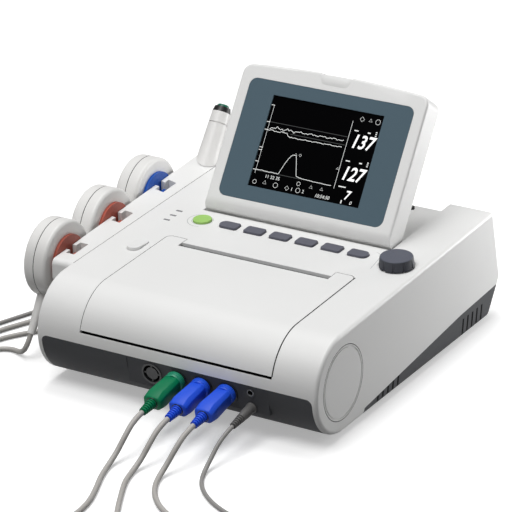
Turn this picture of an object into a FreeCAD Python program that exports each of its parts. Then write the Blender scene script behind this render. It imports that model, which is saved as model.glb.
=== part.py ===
import FreeCAD, Part
import math
import os

V = FreeCAD.Vector
RIGHT_ANGLE = 90.0

# Table-top fetal monitor with a hinged display, a paper recorder under a front door and a side holder
# for three transducers and an event marker. Millimetres, +X right, +Y to the back, +Z up.
# Sizes are set out from the nose of the front roll and the table, and moved to the base centre at the end.

# Housing: a round-nosed wedge, seen from the side
body_width = 294.0
half = body_width / 2
roll_radius = 47.5
foot_height = 5.0
top_slope = 2.08
body_depth = 353.0
rear_crown_z = 38.0
rear_lean_run = 16.0
rear_top_y = body_depth - rear_lean_run
base_rear_inset = 23.0
base_rear_y = body_depth - base_rear_inset
rear_top_radius = 5.0
rear_crown_radius = 8.0
base_rear_radius = 7.0
edge_radius = 4.0
holder_edge_radius = 1.0
wall = 3.0
overrun = 20.0
fit = 0.2
door_gap = 0.6

# Parting line between the white cover and the dark base
seam_front_y = 82.0
seam_step_y = 86.0
seam_step_z = 11.3
seam_mid_inset = 81.0
seam_mid_y = body_depth - seam_mid_inset
seam_mid_z = 28.8
seam_rear_inset = 7.0
seam_rear_y = body_depth - seam_rear_inset
seam_rear_z = 32.4
nose_top_z = 53.5
nose_corner = 6.0
cheek_width = 4.5

# Slanted vents in the base
vent_width = 3.2
vent_pitch = 9.4
vent_lean_share = 0.16
vent_count = 5
front_vent_y = 106.0
front_vent_top = 20.0
rear_vent_inset = 82.0
rear_vent_y = body_depth - rear_vent_inset
rear_vent_top = 23.0

# Round cap let into the right end of the roll
cap_radius = 35.5
cap_depth = 1.6
cap_gap = 0.7
cap_rim = 1.2
cap_groove = 1.4
cap_groove_depth = 0.8

# Display recess and hinge
recess_half = 102.0
recess_floor = 98.5
hinge_inset = 121.5
hinge_y = body_depth - hinge_inset
recess_reach = 15.0
recess_front = hinge_y - recess_reach
hinge_z = 113.3
hinge_tilt = 55.68
lug_inner = 60.0
lug_width = 12.0
lug_radius = 6.0
lug_gap = 0.6
pin_radius = 2.5
pin_reach = 8.0
pin_clearance = 0.05
bumper_x = 62.0
bumper_inset = 22.0
bumper_y = body_depth - bumper_inset
bumper_radius = 3.0
bumper_height = 2.2
bumper_gap = 0.5

# Display, in its own plane: y runs up the screen from the hinge, z towards the viewer
display_half = 100.3
display_thickness = 28.0
display_side_top = 133.0
display_mid_top = 137.0
display_corner = 10.0
display_crown_share = 0.85
display_swing = 75.0
lug_steps = 5
display_edge = 2.5
display_wall = 3.0
display_front_wall = 5.0
display_parting = -4.0
display_hollow_start = 13.0
notch_half = 17.0
notch_depth = 1.6
notch_height = 7.0
bezel_half = 88.8
bezel_low = 3.0
bezel_high = 120.7
bezel_corner = 8.0
bezel_thickness = 1.6
screen_half = 60.0
screen_low = 17.1
screen_high = 107.4
screen_margin = 4.0
screen_thickness = 5.0

# Paper door, its hinge and the well under it
door_inset = 46.5
door_half = half - door_inset
door_tab_width = 20.0
door_tab_inner = door_half - door_tab_width
door_tab_inset = 200.0
door_tab_rear = body_depth - door_tab_inset
door_step = 15.8
door_rear = door_tab_rear - door_step
door_low_z = 66.4
door_corner = 6.0
paper_slot = 7.0
tongue_front = door_rear + paper_slot
barrel_radius = 2.2
barrel_y = 4.9
barrel_z = 67.9
door_pin_radius = 1.1
door_pin_reach = 5.0
boss_radius = 3.4
well_floor = 60.0
well_wall = 2.0
well_rear_top = 82.0
strip_gap = 2.8

# Paper, roller, gears, motor and print head
paper_height = 18.0
paper_front = 22.0
paper_slack = 4.0
roller_radius = 6.0
roller_inset = 5.7
roller_y = door_rear - roller_inset
well_reach = 13.5
well_rear = roller_y - well_reach
roller_z = 91.2
shaft_radius = 2.0
ear_offset = 1.5
ear_inner = door_tab_inner + ear_offset
roller_end_gap = 4.0
roller_half = ear_inner - roller_end_gap
paper_margin = 2.0
paper_width = 2 * (roller_half - paper_margin)
paper_length = well_rear - paper_front - paper_slack
ear_thick = 3.0
ear_radius = 5.0
gear_module = 1.0
gear_teeth = 14
pinion_teeth = 12
gear_width = 5.0
gear_slack = 0.12
root_share = 1.25
pressure_angle = 20.0
shaft_end = 1.0
gear_start = ear_inner + ear_thick + shaft_end
mesh_lean = 11.0
motor_radius = 13.0
motor_length = 28.0
motor_boss = 4.0
motor_shaft = 1.5
motor_hole_gap = 0.7
head_depth = 12.0
head_low = 84.0
head_end_gap = 3.0
head_half = ear_inner - head_end_gap
print_gap = 0.5

# Door release button
latch_inset_x = 32.5
latch_x = latch_inset_x - half
latch_inset = 32.0
latch_y = door_tab_rear - latch_inset
latch_width = 13.0
latch_length = 26.0
latch_rise = 3.0
latch_depth = 7.0
latch_flat_share = 0.25

# Keys, lenses and knob on the sloping top
key_row_gap = 21.1
key_row_y = recess_front - key_row_gap
key_width = 12.5
key_corner = 2.5
key_edge = 0.6
key_rise = 2.2
key_depth = 6.0
key_gap = 0.4
start_radius = 9.0
lens_inset = 26.0
lens_x = lens_inset - half
lens_drop = 13.9
lens_low_y = key_row_y - lens_drop
lens_pitch = 11.2
lens_count = 3
lens_length = 6.5
lens_width = 2.2
lens_rise = 0.3
lens_depth = 4.0
knob_inset = 24.5
knob_x = half - knob_inset
knob_drop = 5.4
knob_y = key_row_y - knob_drop
start_gap = 31.3
start_x = lens_x + start_gap
key_count = 6
key_start_gap = 30.0
key_first_x = start_x + key_start_gap
key_knob_gap = 42.7
key_pitch = (knob_x - key_knob_gap - key_first_x) / (key_count - 1)
key_space = 7.9
key_length = key_pitch - key_space
key_end_share = 0.464
key_end_radius = key_width * key_end_share
knob_radius = 16.6
knob_top_radius = 15.4
knob_height = 10.0
knob_edge = 1.2
knob_bore = 8.0
knob_grooves = 10
groove_radius = 1.3
knob_well_radius = 18.0
knob_well_depth = 1.0
knob_travel = 0.8
spindle_radius = 3.0
spindle_depth = 14.0
encoder_half = 7.0
encoder_height = 6.0

# Connector panel on the nose
panel_left = -50.0
panel_right = 97.7
panel_low_y = 3.6
panel_low_z = 27.0
panel_depth = 12.0
socket_x = 2.5
socket_pitch = 26.5
socket_z = 41.0
socket_radius = 10.6
socket_bore = 8.7
socket_depth = 9.0
socket_core = 6.2
socket_rise = 1.0
plug_sockets = 3
jack_x = 79.5
jack_upper_z = 46.6
jack_lower_z = 31.4
jack_radius = 4.6
jack_bore = 2.4
jack_depth = 10.0
jack_rise = 0.6

# Plugs on the front panel
collar_radius = 9.5
collar_length = 6.0
plug_width = 17.0
plug_height = 15.0
plug_length = 33.0
plug_round = 4.0
plug_flat_share = 0.62
plug_belly_share = 0.8
boot_radius = 5.0
boot_tip_radius = 3.5
boot_length = 18.0
boot_rings = 5
boot_ring_depth = 0.7
boot_ring_share = 0.5
spigot_radius = 8.4
spigot_length = 8.0
spigot_bore = 6.6
small_radius = 4.8
small_length = 14.0
small_boot_length = 19.0
small_boot_radius = 3.8
small_tip_radius = 2.8
small_pin_radius = 2.2
small_pin_length = 9.0

# Side holder for the transducers and the event marker
holder_depth = 23.0
lip_thick = 4.0
holder_front = 60.0
holder_rear_inset = 18.0
holder_rear = body_depth - holder_rear_inset
holder_top_y = 67.0
holder_top_z = 100.2
holder_slope = 3.65
holder_low_z = 76.0
holder_rear_low_z = 66.0
holder_rear_length = 61.0
holder_rear_start = holder_rear - holder_rear_length
holder_nose_radius = 6.0
notch_width = 10.0
pocket_width = 24.0
pocket_depth = 9.0
neck_gap = 0.4
head_gap = 0.4

# Transducers
transducer_first = 29.5
transducer_y = holder_front + transducer_first
transducer_count = 3
transducer_ends = 122.0
transducer_pitch = (body_depth - transducer_ends) / transducer_count
transducer_space = 0.5
transducer_radius = transducer_pitch / 2 - transducer_space
transducer_z = 87.5
transducer_step = 4.5
transducer_gap = 0.5
transducer_seam = 12.0
transducer_thick = 24.3
transducer_edge = 3.5
seam_groove = 0.8
button_disc_inset = 13.0
button_disc_radius = transducer_radius - button_disc_inset
button_disc_thick = 3.0
neck_radius = 4.0
head_radius = 8.5
head_thick = 3.0
lead_turn = 35.0
lead_boot_length = 38.0
lead_boot_root = 5.5
lead_boot_tip = 3.6
lead_boot_offset = 10.0
lead_boot_sink = 2.0

# Event marker
marker_offset = 11.5
marker_x = -half - marker_offset
marker_inset = 35.0
marker_y = body_depth - marker_inset
marker_z = 116.5
marker_lean = 34.5
marker_radius = 8.6
marker_neck_radius = 9.4
marker_skirt_radius = 11.3
marker_skirt_drop = 14.0
marker_out = 50.0
marker_in = 44.0
marker_tip_radius = 6.8
marker_collar = 5.5
marker_collar_wall = 1.2
marker_seam = 12.0
marker_button_radius = 6.2
marker_button_rise = 2.8
marker_button_edge = 2.4
marker_button_travel = 2.0
marker_clearance = 0.4
marker_cord_hole = 4.2

# Inside and rear
board_thick = 1.6
board_inset = 27.0
board_left = board_inset - half
board_front = 130.0
board_rear_inset = 53.0
board_rear = body_depth - board_rear_inset
board_z = 20.0
board_post_inset = 8.0
supply_inset = 127.0
supply_x = half - supply_inset
board_space = 20.0
board_right = supply_x - board_space
supply_rear_inset = 138.0
supply_y = body_depth - supply_rear_inset
supply_width = 90.0
supply_depth = 100.0
supply_height = 30.0
battery_lead = 85.0
battery_y = supply_y - battery_lead
battery_width = 90.0
battery_depth = 60.0
battery_height = 26.0
standoff_radius = 4.0
inlet_inset = 57.0
inlet_x = half - inlet_inset
inlet_z = 62.0
inlet_width = 28.0
inlet_height = 24.0
inlet_flange = 4.0
inlet_depth = 18.0
inlet_cavity = 12.0
inlet_pin_length = 6.0
inlet_pin_width = 2.0
inlet_pin_pitch = 7.0
inlet_pin_drop = 3.0
inlet_rim = 1.6
rocker_offset = 40.0
rocker_x = inlet_x - rocker_offset
rocker_width = 14.0
rocker_height = 20.0
rocker_depth = 8.0
rocker_bulge = 2.5
rocker_swing = 10.0
rocker_pivot = 5.0
rocker_pin = 1.4
rocker_pin_reach = 3.0
rocker_bearing = 3.5
rocker_gap = 0.5
rocker_end_gap = 1.2
rocker_dip_share = 0.4
foot_radius = 8.0
foot_taper = 1.0
foot_inset = 35.0
foot_inset_x = half - foot_inset
foot_front_y = 76.0
foot_rear_inset = 53.0
foot_rear_y = body_depth - foot_rear_inset
screw_radius = 1.8
screw_length = 12.0
screw_head_radius = 3.5
screw_head_height = 2.2
post_radius = 4.5
screw_inset = 19.0
screw_inset_x = half - screw_inset
screw_front_y = 92.0
screw_rear_inset = 37.0
screw_rear_y = body_depth - screw_rear_inset

# Cords and their coils
cord_sides = 6
cord_radii = [2.5, 2.5, 2.5, 2.0]
bend_share = 0.45
plug_straight = 14.0
small_straight = 8.0
lead_straight = 12.0
marker_straight = 30.0
lane_x = -33.8
lane_y = -221.9
lane_turn = 29.3
coil_centres = [-16.0, 67.0, 144.0, 216.0]
coil_out = 100.0
coil_start_radii = [39.0, 36.3, 33.0, 26.9]
coil_gap = 1.5
layer_gap = 1.0
coil_layers = 4
layer_halves = 3
coil_rest = 1.6
tie_width = 8.0
tie_thick = 1.2
tie_gap = 0.4

# Worked out from the sizes above
slope = math.radians(top_slope)
roll_y = roll_radius
roll_z = foot_height + roll_radius
display_half_thick = display_thickness / 2
far = body_depth + overrun


def top_z(y):
    return roll_z + roll_radius / math.cos(slope) + (y - roll_y) * math.tan(slope)


# Small geometry helpers
def box(x0, x1, y0, y1, z0, z1):
    return Part.makeBox(x1 - x0, y1 - y0, z1 - z0, V(x0, y0, z0))


def bar_x(y, z, radius, x0, x1):
    return Part.makeCylinder(radius, x1 - x0, V(x0, y, z), V(1, 0, 0))


def side_prism(points, x0, x1):
    corners = [V(x0, y, z) for y, z in points]
    face = Part.Face(Part.makePolygon(corners + corners[:1]))
    return face.extrude(V(x1 - x0, 0, 0))


def rounded_face(corners, radii):
    starts = []
    ends = []
    edges = []
    count = len(corners)
    for i, corner in enumerate(corners):
        back = (corners[i - 1] - corner).normalize()
        ahead = (corners[(i + 1) % count] - corner).normalize()
        turn = back.getAngle(ahead) / 2
        cut = radii[i] / math.tan(turn)
        middle = corner + (back + ahead).normalize() * (radii[i] / math.sin(turn) - radii[i])
        starts.append(corner + back * cut)
        ends.append(corner + ahead * cut)
        if radii[i] > 0:
            edges.append(Part.Arc(starts[i], middle, ends[i]).toShape())
    for i in range(count):
        start = ends[i]
        end = starts[(i + 1) % count]
        if start.distanceToPoint(end) > fit / 1000:
            edges.append(Part.LineSegment(start, end).toShape())
    return Part.Face(Part.Wire(Part.__sortEdges__(edges)))


def rounded_rect(x0, x1, y0, y1, radius, z0, z1):
    corners = [V(x0, y0, z0), V(x1, y0, z0), V(x1, y1, z0), V(x0, y1, z0)]
    return rounded_face(corners, [radius] * len(corners)).extrude(V(0, 0, z1 - z0))


def inset(corners, depth):
    result = []
    count = len(corners)
    for i, corner in enumerate(corners):
        before = V(1, 0, 0).cross((corner - corners[i - 1]).normalize())
        after = V(1, 0, 0).cross((corners[(i + 1) % count] - corner).normalize())
        result.append(corner + (before + after) * (depth / (1 + before.dot(after))))
    return result


def end_edges(shape, x):
    return [e for e in shape.Edges if abs(e.BoundBox.XMin - x) + abs(e.BoundBox.XMax - x) < fit]


def on_top(x, y):
    return FreeCAD.Placement(V(x, y, top_z(y)), FreeCAD.Rotation(V(1, 0, 0), top_slope))


def placed(shape, place):
    copy = shape.copy()
    copy.Placement = place.multiply(copy.Placement)
    return copy


def joined(shapes):
    return shapes[0].multiFuse(shapes[1:]).removeSplitter()


def obround(width, length, z0, z1):
    radius = width / 2
    flat = length / 2 - radius
    middle = box(-radius, radius, -flat, flat, z0, z1)
    rear = Part.makeCylinder(radius, z1 - z0, V(0, flat, z0))
    front = Part.makeCylinder(radius, z1 - z0, V(0, -flat, z0))
    return joined([middle, rear, front])


def mirrored(shape):
    return shape.mirror(V(0, 0, 0), V(1, 0, 0))


# Housing block: the side outline drawn across the width, with a hollow one wall inside it
side_corners = [V(0, 0, foot_height), V(0, base_rear_y, foot_height), V(0, body_depth, rear_crown_z),
                V(0, rear_top_y, top_z(rear_top_y)), V(0, 0, top_z(0))]
side_radii = [roll_radius, base_rear_radius, rear_crown_radius, rear_top_radius, roll_radius]


def housing_block():
    face = rounded_face(side_corners, side_radii)
    block = face.extrude(V(body_width, 0, 0)).translate(V(-half, 0, 0))
    block = block.makeFillet(edge_radius, end_edges(block, half))
    return block.makeFillet(holder_edge_radius, end_edges(block, -half))


def housing_hollow():
    face = rounded_face(inset(side_corners, wall), [r - wall for r in side_radii])
    width = body_width - 2 * wall
    return face.extrude(V(width, 0, 0)).translate(V(wall - half, 0, 0))


def base_region():
    rear = [(seam_front_y, -overrun), (seam_front_y, foot_height), (seam_step_y, seam_step_z),
            (seam_mid_y, seam_mid_z), (seam_rear_y, seam_rear_z), (far, seam_rear_z), (far, -overrun)]
    low = side_prism(rear, -half - overrun, half + overrun)
    inner = half - cheek_width
    nose = box(-inner, inner, -overrun, seam_step_y, -overrun, nose_top_z)
    corners = [e for e in nose.Edges if e.BoundBox.ZMin > nose_top_z - fit and e.BoundBox.YLength > overrun]
    return low.fuse(nose.makeFillet(nose_corner, corners))


def door_region(gap):
    tabs = rounded_rect(-door_half - gap, door_half + gap, -overrun, door_tab_rear + gap, door_corner,
                        door_low_z, top_z(far))
    tongue = box(gap - door_tab_inner, door_tab_inner - gap, door_rear, far, door_low_z, top_z(far))
    return tabs.cut(tongue)


def well_walls():
    inner = door_half + door_gap
    outer = inner + well_wall
    rear = door_tab_rear + door_gap
    low = well_floor - well_wall
    floor = box(-outer, outer, well_wall, well_rear + well_wall, low, well_floor)
    back = box(-outer, outer, well_rear, well_rear + well_wall, low, well_rear_top)
    left = box(-outer, -inner, well_wall, rear + well_wall, low, top_z(rear))
    right = box(inner, outer, well_wall, rear + well_wall, low, top_z(rear))
    shaft = bar_x(pinion_y, pinion_z, motor_shaft + motor_hole_gap, inner - overrun, outer + overrun)
    return joined([floor, back, left, right.cut(shaft)])


def hinge_boss():
    inner = door_half + door_gap
    return bar_x(barrel_y, barrel_z, boss_radius, inner, inner + door_pin_reach + well_wall)


def door_pin_bore():
    inner = door_half + door_gap
    return bar_x(barrel_y, barrel_z, door_pin_radius, inner, inner + door_pin_reach)


def display_lug(x0):
    lug = bar_x(hinge_y, hinge_z, lug_radius, x0, x0 + lug_width)
    stem = box(x0, x0 + lug_width, hinge_y - lug_radius, hinge_y + lug_radius, recess_floor - wall, hinge_z)
    lug = lug.fuse(stem)
    return lug.cut(bar_x(hinge_y, hinge_z, pin_radius, x0 - overrun, x0 + lug_width + overrun))


def screw_places():
    xs = (-screw_inset_x, screw_inset_x)
    return [(x, y) for x in xs for y in (screw_front_y, screw_rear_y)]


def screw_posts():
    low = foot_height + wall
    posts = []
    for x, y in screw_places():
        tall = top_z(y) - wall / 2 - low
        post = Part.makeCylinder(post_radius, tall, V(x, y, low))
        posts.append(post.cut(Part.makeCylinder(screw_radius, screw_length, V(x, y, low))))
    return posts


def top_cover(block, hollow):
    recess = box(-recess_half, recess_half, recess_front, far, recess_floor, top_z(far))
    lining = box(-recess_half - wall, recess_half + wall, recess_front - wall, far, recess_floor - wall,
                 top_z(far))
    shell = block.cut(hollow.cut(lining)).cut(recess).cut(base_region())
    inside = joined([well_walls(), hinge_boss(), mirrored(hinge_boss())] + screw_posts())
    inside = inside.cut(door_pin_bore()).cut(mirrored(door_pin_bore()))
    shell = shell.fuse(inside.common(block).cut(recess))
    opening = door_region(door_gap)
    slot_half = door_tab_inner - door_gap
    slot = box(-slot_half, slot_half, door_rear - overrun, tongue_front, door_low_z, top_z(far))
    strip = box(-door_half - door_gap, door_half + door_gap, -overrun, roll_y, door_low_z - strip_gap,
                door_low_z + wall)
    skin = block.cut(hollow)
    shell = shell.cut(skin.common(opening.fuse(slot).fuse(strip)))
    lugs = [display_lug(lug_inner), display_lug(-lug_inner - lug_width)]
    shell = shell.multiFuse(lugs + rocker_bearings())
    for cut in control_holes() + rear_holes():
        shell = shell.cut(cut)
    cap = bar_x(roll_y, roll_z, cap_radius, half - cap_depth, half + overrun)
    return shell.cut(cap).removeSplitter()


def vents():
    cuts = []
    for first, top in ((front_vent_y, front_vent_top), (rear_vent_y, rear_vent_top)):
        for k in range(vent_count):
            y = first + k * vent_pitch
            lean = (top + foot_height) * vent_lean_share
            end = y + vent_width
            ridge = [(y, -foot_height), (end, -foot_height), (end + lean, top), (y + lean, top)]
            cuts.append(side_prism(ridge, half - wall - fit, half + overrun))
            cuts.append(side_prism(ridge, -half - overrun, wall + fit - half))
    return cuts


def base_tray(block, hollow):
    tray = block.cut(hollow).common(base_region())
    panel = box(panel_left, panel_right, -overrun, panel_depth + panel_low_y, panel_low_z, nose_top_z)
    tray = tray.cut(panel)
    low = foot_height + wall
    for x, y in board_posts():
        post = Part.makeCylinder(standoff_radius, board_z - low + wall / 2, V(x, y, low - wall / 2))
        tray = tray.fuse(post)
    for x, y in screw_places():
        tray = tray.cut(Part.makeCylinder(screw_radius + pin_clearance, low, V(x, y, 0)))
    for cut in vents():
        tray = tray.cut(cut)
    return tray.removeSplitter()


def side_cap():
    rim = cap_radius - cap_gap
    cap = bar_x(roll_y, roll_z, rim, half - cap_depth, half)
    ring = bar_x(roll_y, roll_z, rim - cap_rim, half - cap_groove_depth, half)
    ring = ring.cut(bar_x(roll_y, roll_z, rim - cap_rim - cap_groove, half - cap_depth, half))
    return cap.cut(ring)


# Controls on the top
def key_shape(k, grow, z0, z1):
    x = key_length / 2 + grow
    y = key_width / 2 + grow
    left = key_end_radius if k == 0 else key_corner
    right = key_end_radius if k == key_count - 1 else key_corner
    corners = [V(-x, -y, z0), V(x, -y, z0), V(x, y, z0), V(-x, y, z0)]
    return rounded_face(corners, [left, right, right, left]).extrude(V(0, 0, z1 - z0))


def top_rounded(shape, z, radius):
    return shape.makeFillet(radius, [e for e in shape.Edges if e.BoundBox.ZMin > z - fit])


def grey_key(k):
    key = top_rounded(key_shape(k, 0, -key_depth, key_rise), key_rise, key_edge)
    return placed(key, on_top(key_first_x + k * key_pitch, key_row_y))


def start_key():
    key = Part.makeCylinder(start_radius, key_depth + key_rise, V(0, 0, -key_depth))
    return placed(top_rounded(key, key_rise, key_edge), on_top(start_x, key_row_y))


def lens_blank(z0, z1):
    return box(-lens_length / 2, lens_length / 2, -lens_width / 2, lens_width / 2, z0, z1)


def lens_rows():
    return [lens_low_y + k * lens_pitch for k in range(lens_count)]


def indicator_lenses():
    return [placed(lens_blank(-lens_depth, lens_rise), on_top(lens_x, y)) for y in lens_rows()]


def door_latch():
    button = obround(latch_width, latch_length, -latch_depth, latch_rise)
    end = latch_length / 2
    low = latch_rise * latch_flat_share
    slant = [(-end, latch_rise), (end, low), (end + overrun, low), (end + overrun, latch_rise + overrun),
             (-end, latch_rise + overrun)]
    return placed(button.cut(side_prism(slant, -latch_width, latch_width)), on_top(latch_x, latch_y))


def control_holes():
    cuts = []
    for k in range(key_count):
        hole = key_shape(k, key_gap, -overrun, overrun)
        cuts.append(placed(hole, on_top(key_first_x + k * key_pitch, key_row_y)))
    start = Part.makeCylinder(start_radius + key_gap, 2 * overrun, V(0, 0, -overrun))
    cuts.append(placed(start, on_top(start_x, key_row_y)))
    for y in lens_rows():
        cuts.append(placed(lens_blank(-overrun, overrun), on_top(lens_x, y)))
    well = Part.makeCylinder(knob_well_radius, overrun, V(0, 0, -knob_well_depth))
    bore = Part.makeCylinder(spindle_radius + pin_clearance, 2 * overrun, V(0, 0, -overrun))
    cuts.append(placed(well.fuse(bore), on_top(knob_x, knob_y)))
    latch = obround(latch_width + 2 * key_gap, latch_length + 2 * key_gap, -overrun, overrun)
    cuts.append(placed(latch, on_top(latch_x, latch_y)))
    return cuts


knob_base = knob_travel + key_gap - knob_well_depth


def control_knob():
    knob = Part.makeCone(knob_radius, knob_top_radius, knob_height, V(0, 0, knob_base))
    knob = top_rounded(knob, knob_base + knob_height, knob_edge)
    for k in range(knob_grooves):
        turn = 2 * math.pi * k / knob_grooves
        place = V(knob_radius * math.cos(turn), knob_radius * math.sin(turn), knob_base)
        knob = knob.cut(Part.makeCylinder(groove_radius, knob_height - knob_edge, place))
    bore = Part.makeCylinder(spindle_radius + pin_clearance, knob_bore, V(0, 0, knob_base))
    return placed(knob.cut(bore), on_top(knob_x, knob_y))


def knob_spindle():
    top = knob_base + knob_bore - fit
    spindle = Part.makeCylinder(spindle_radius, spindle_depth + top, V(0, 0, -spindle_depth))
    return placed(spindle, on_top(knob_x, knob_y))


def knob_encoder():
    block = box(-encoder_half, encoder_half, -encoder_half, encoder_half, -wall - encoder_height, -wall)
    bore = Part.makeCylinder(spindle_radius + pin_clearance, 2 * overrun, V(0, 0, -overrun))
    return placed(block.cut(bore), on_top(knob_x, knob_y))


# Paper door and recorder
def door_ear(x0):
    front = roller_y - ear_radius
    rear = roller_y + ear_radius
    top = top_z(roller_y) - wall / 2
    stem = side_prism([(front, roller_z), (rear, roller_z), (rear, top), (front, top)], x0, x0 + ear_thick)
    return stem.fuse(bar_x(roller_y, roller_z, ear_radius, x0, x0 + ear_thick))


def paper_door(block, hollow):
    door = block.cut(hollow).common(door_region(0))
    barrel = bar_x(barrel_y, barrel_z, barrel_radius, -door_half, door_half)
    ears = [door_ear(ear_inner), door_ear(-ear_inner - ear_thick)]
    door = door.multiFuse([barrel] + ears)
    door = door.cut(bar_x(roller_y, roller_z, shaft_radius + pin_clearance, -half, half))
    for x0 in (-door_half, door_half - pin_reach - fit):
        door = door.cut(bar_x(barrel_y, barrel_z, door_pin_radius + pin_clearance, x0, x0 + pin_reach + fit))
    return door.removeSplitter()


def platen_roller():
    roller = bar_x(roller_y, roller_z, roller_radius, -roller_half, roller_half)
    left = ear_inner + ear_thick + shaft_end
    shaft = bar_x(roller_y, roller_z, shaft_radius, -left, gear_start + gear_width + shaft_end)
    return roller.fuse(shaft).removeSplitter()


def gear_blank(y, z, teeth, phase, x0):
    pitch = gear_module * teeth / 2
    tip = pitch + gear_module
    root = pitch - gear_module * root_share
    flank = math.tan(math.radians(pressure_angle))
    thick = math.pi * gear_module / 4 - gear_slack
    points = []
    for k in range(teeth):
        middle = phase + 2 * math.pi * k / teeth
        low = (thick + (pitch - root) * flank) / root
        high = (thick - (tip - pitch) * flank) / tip
        for radius, turn in ((root, -low), (tip, -high), (tip, high), (root, low)):
            points.append((y + radius * math.cos(middle + turn), z + radius * math.sin(middle + turn)))
    return side_prism(points, x0, x0 + gear_width)


mesh_turn = math.radians(mesh_lean) - math.pi / 2
centre_distance = gear_module * (gear_teeth + pinion_teeth) / 2 + gear_slack
pinion_y = roller_y + centre_distance * math.cos(mesh_turn)
pinion_z = roller_z + centre_distance * math.sin(mesh_turn)
well_outer = door_half + door_gap + well_wall


def platen_gear():
    gear = gear_blank(roller_y, roller_z, gear_teeth, mesh_turn, gear_start)
    return gear.cut(bar_x(roller_y, roller_z, shaft_radius, 0, half))


def drive_pinion():
    phase = mesh_turn + math.pi + math.pi / pinion_teeth
    pinion = gear_blank(pinion_y, pinion_z, pinion_teeth, phase, gear_start)
    shaft = bar_x(pinion_y, pinion_z, motor_shaft, gear_start, well_outer + motor_boss)
    return pinion.fuse(shaft).removeSplitter()


def paper_motor():
    motor = bar_x(pinion_y, pinion_z, motor_radius, well_outer, well_outer + motor_length)
    return motor.cut(bar_x(pinion_y, pinion_z, motor_shaft + pin_clearance, 0, well_outer + motor_boss + fit))


def print_head():
    front = roller_y + roller_radius + print_gap
    rear = front + head_depth
    under = wall / math.cos(slope)
    outline = [(front, head_low), (rear, head_low), (rear, top_z(rear) - under),
               (front, top_z(front) - under)]
    return side_prism(outline, -head_half, head_half)


def paper_pack():
    return box(-paper_width / 2, paper_width / 2, paper_front, paper_front + paper_length, well_floor,
               well_floor + paper_height)


# Tilting display, drawn in its own plane and then set on its hinge
display_place = FreeCAD.Placement(V(0, hinge_y, hinge_z), FreeCAD.Rotation(V(1, 0, 0), hinge_tilt))


def display_block():
    t = display_half_thick
    rise = 2 * (display_mid_top - display_side_top)
    corners = [V(-display_half, -t, -t), V(display_half, -t, -t), V(display_half, display_side_top, -t),
               V(0, display_side_top + rise, -t), V(-display_half, display_side_top, -t)]
    crown = math.hypot(display_half, rise) * display_crown_share * display_half / rise
    face = rounded_face(corners, [0, 0, display_corner, crown, display_corner])
    slab = face.extrude(V(0, 0, display_thickness))
    rim = [e for e in slab.Edges if e.BoundBox.ZLength < fit]
    slab = slab.makeFillet(display_edge, rim)
    long = display_mid_top + overrun
    profile = [V(0, -t, -t), V(0, long, -t), V(0, long, t), V(0, -t, t)]
    barrel = rounded_face(profile, [t, 0, 0, t]).extrude(V(4 * display_half, 0, 0))
    return slab.common(barrel.translate(V(-2 * display_half, 0, 0)))


def lug_slots():
    cuts = []
    side = lug_radius + lug_gap
    for x0 in (lug_inner, -lug_inner - lug_width):
        left = x0 - lug_gap
        right = x0 + lug_width + lug_gap
        cuts.append(bar_x(0, 0, side, left, right))
        for k in range(lug_steps + 1):
            stem = box(left, right, -side, side, -display_thickness, 0)
            stem.rotate(V(0, 0, 0), V(1, 0, 0), -display_swing * k / lug_steps)
            cuts.append(stem)
        cuts.append(bar_x(0, 0, pin_radius + pin_clearance, left - pin_reach, right + pin_reach))
    return cuts[0].multiFuse(cuts[1:])


def display_front_frame(block):
    t = display_half_thick
    wide = 2 * display_half
    frame = block.common(box(-wide, wide, -wide, wide, display_parting, t))
    inner = display_half - display_wall
    room = box(-inner, inner, display_hollow_start, display_side_top - display_wall, display_parting,
               t - display_front_wall)
    seat = rounded_rect(-bezel_half - fit, bezel_half + fit, bezel_low - fit, bezel_high + fit, bezel_corner,
                        t - bezel_thickness, t + overrun)
    hole = box(-screen_half - screen_margin, screen_half + screen_margin, screen_low - screen_margin,
               screen_high + screen_margin, display_parting, t)
    grip = box(-notch_half, notch_half, display_mid_top - notch_depth, wide, t - notch_height, t + overrun)
    return frame.cut(room).cut(seat).cut(hole).cut(grip).cut(lug_slots())


def display_rear_cover(block):
    t = display_half_thick
    wide = 2 * display_half
    cover = block.common(box(-wide, wide, -wide, wide, -t, display_parting))
    inner = display_half - display_wall
    room = box(-inner, inner, display_hollow_start, display_side_top - display_wall, display_wall - t,
               display_parting)
    cover = cover.cut(room).cut(lug_slots())
    for x in (-bumper_x, bumper_x):
        dent = Part.makeCylinder(bumper_radius + bumper_gap, bumper_height, V(x, bumper_y - hinge_y, -t))
        cover = cover.cut(dent)
    return cover


def display_bezel():
    t = display_half_thick
    plate = rounded_rect(-bezel_half, bezel_half, bezel_low, bezel_high, bezel_corner, t - bezel_thickness, t)
    return plate.cut(box(-screen_half, screen_half, screen_low, screen_high, 0, t + overrun))


def screen_panel():
    top = display_half_thick - bezel_thickness
    edge = screen_margin - fit
    return box(-screen_half - edge, screen_half + edge, screen_low - edge, screen_high + edge,
               top - screen_thickness, top)


def hinge_pins():
    pins = []
    for x0 in (lug_inner, -lug_inner - lug_width):
        pins.append(bar_x(hinge_y, hinge_z, pin_radius, x0 - pin_reach, x0 + lug_width + pin_reach))
    start = door_half - pin_reach
    door_pin = bar_x(barrel_y, barrel_z, door_pin_radius, start, door_half + door_gap + door_pin_reach)
    return pins + [door_pin, mirrored(door_pin)]


def display_bumpers():
    places = [V(x, bumper_y, recess_floor) for x in (-bumper_x, bumper_x)]
    return [Part.makeCylinder(bumper_radius, bumper_height, place) for place in places]


# Connector panel, its sockets and the plugs in them
panel_lean = math.degrees(math.atan2(panel_low_y, nose_top_z - panel_low_z))


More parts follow.
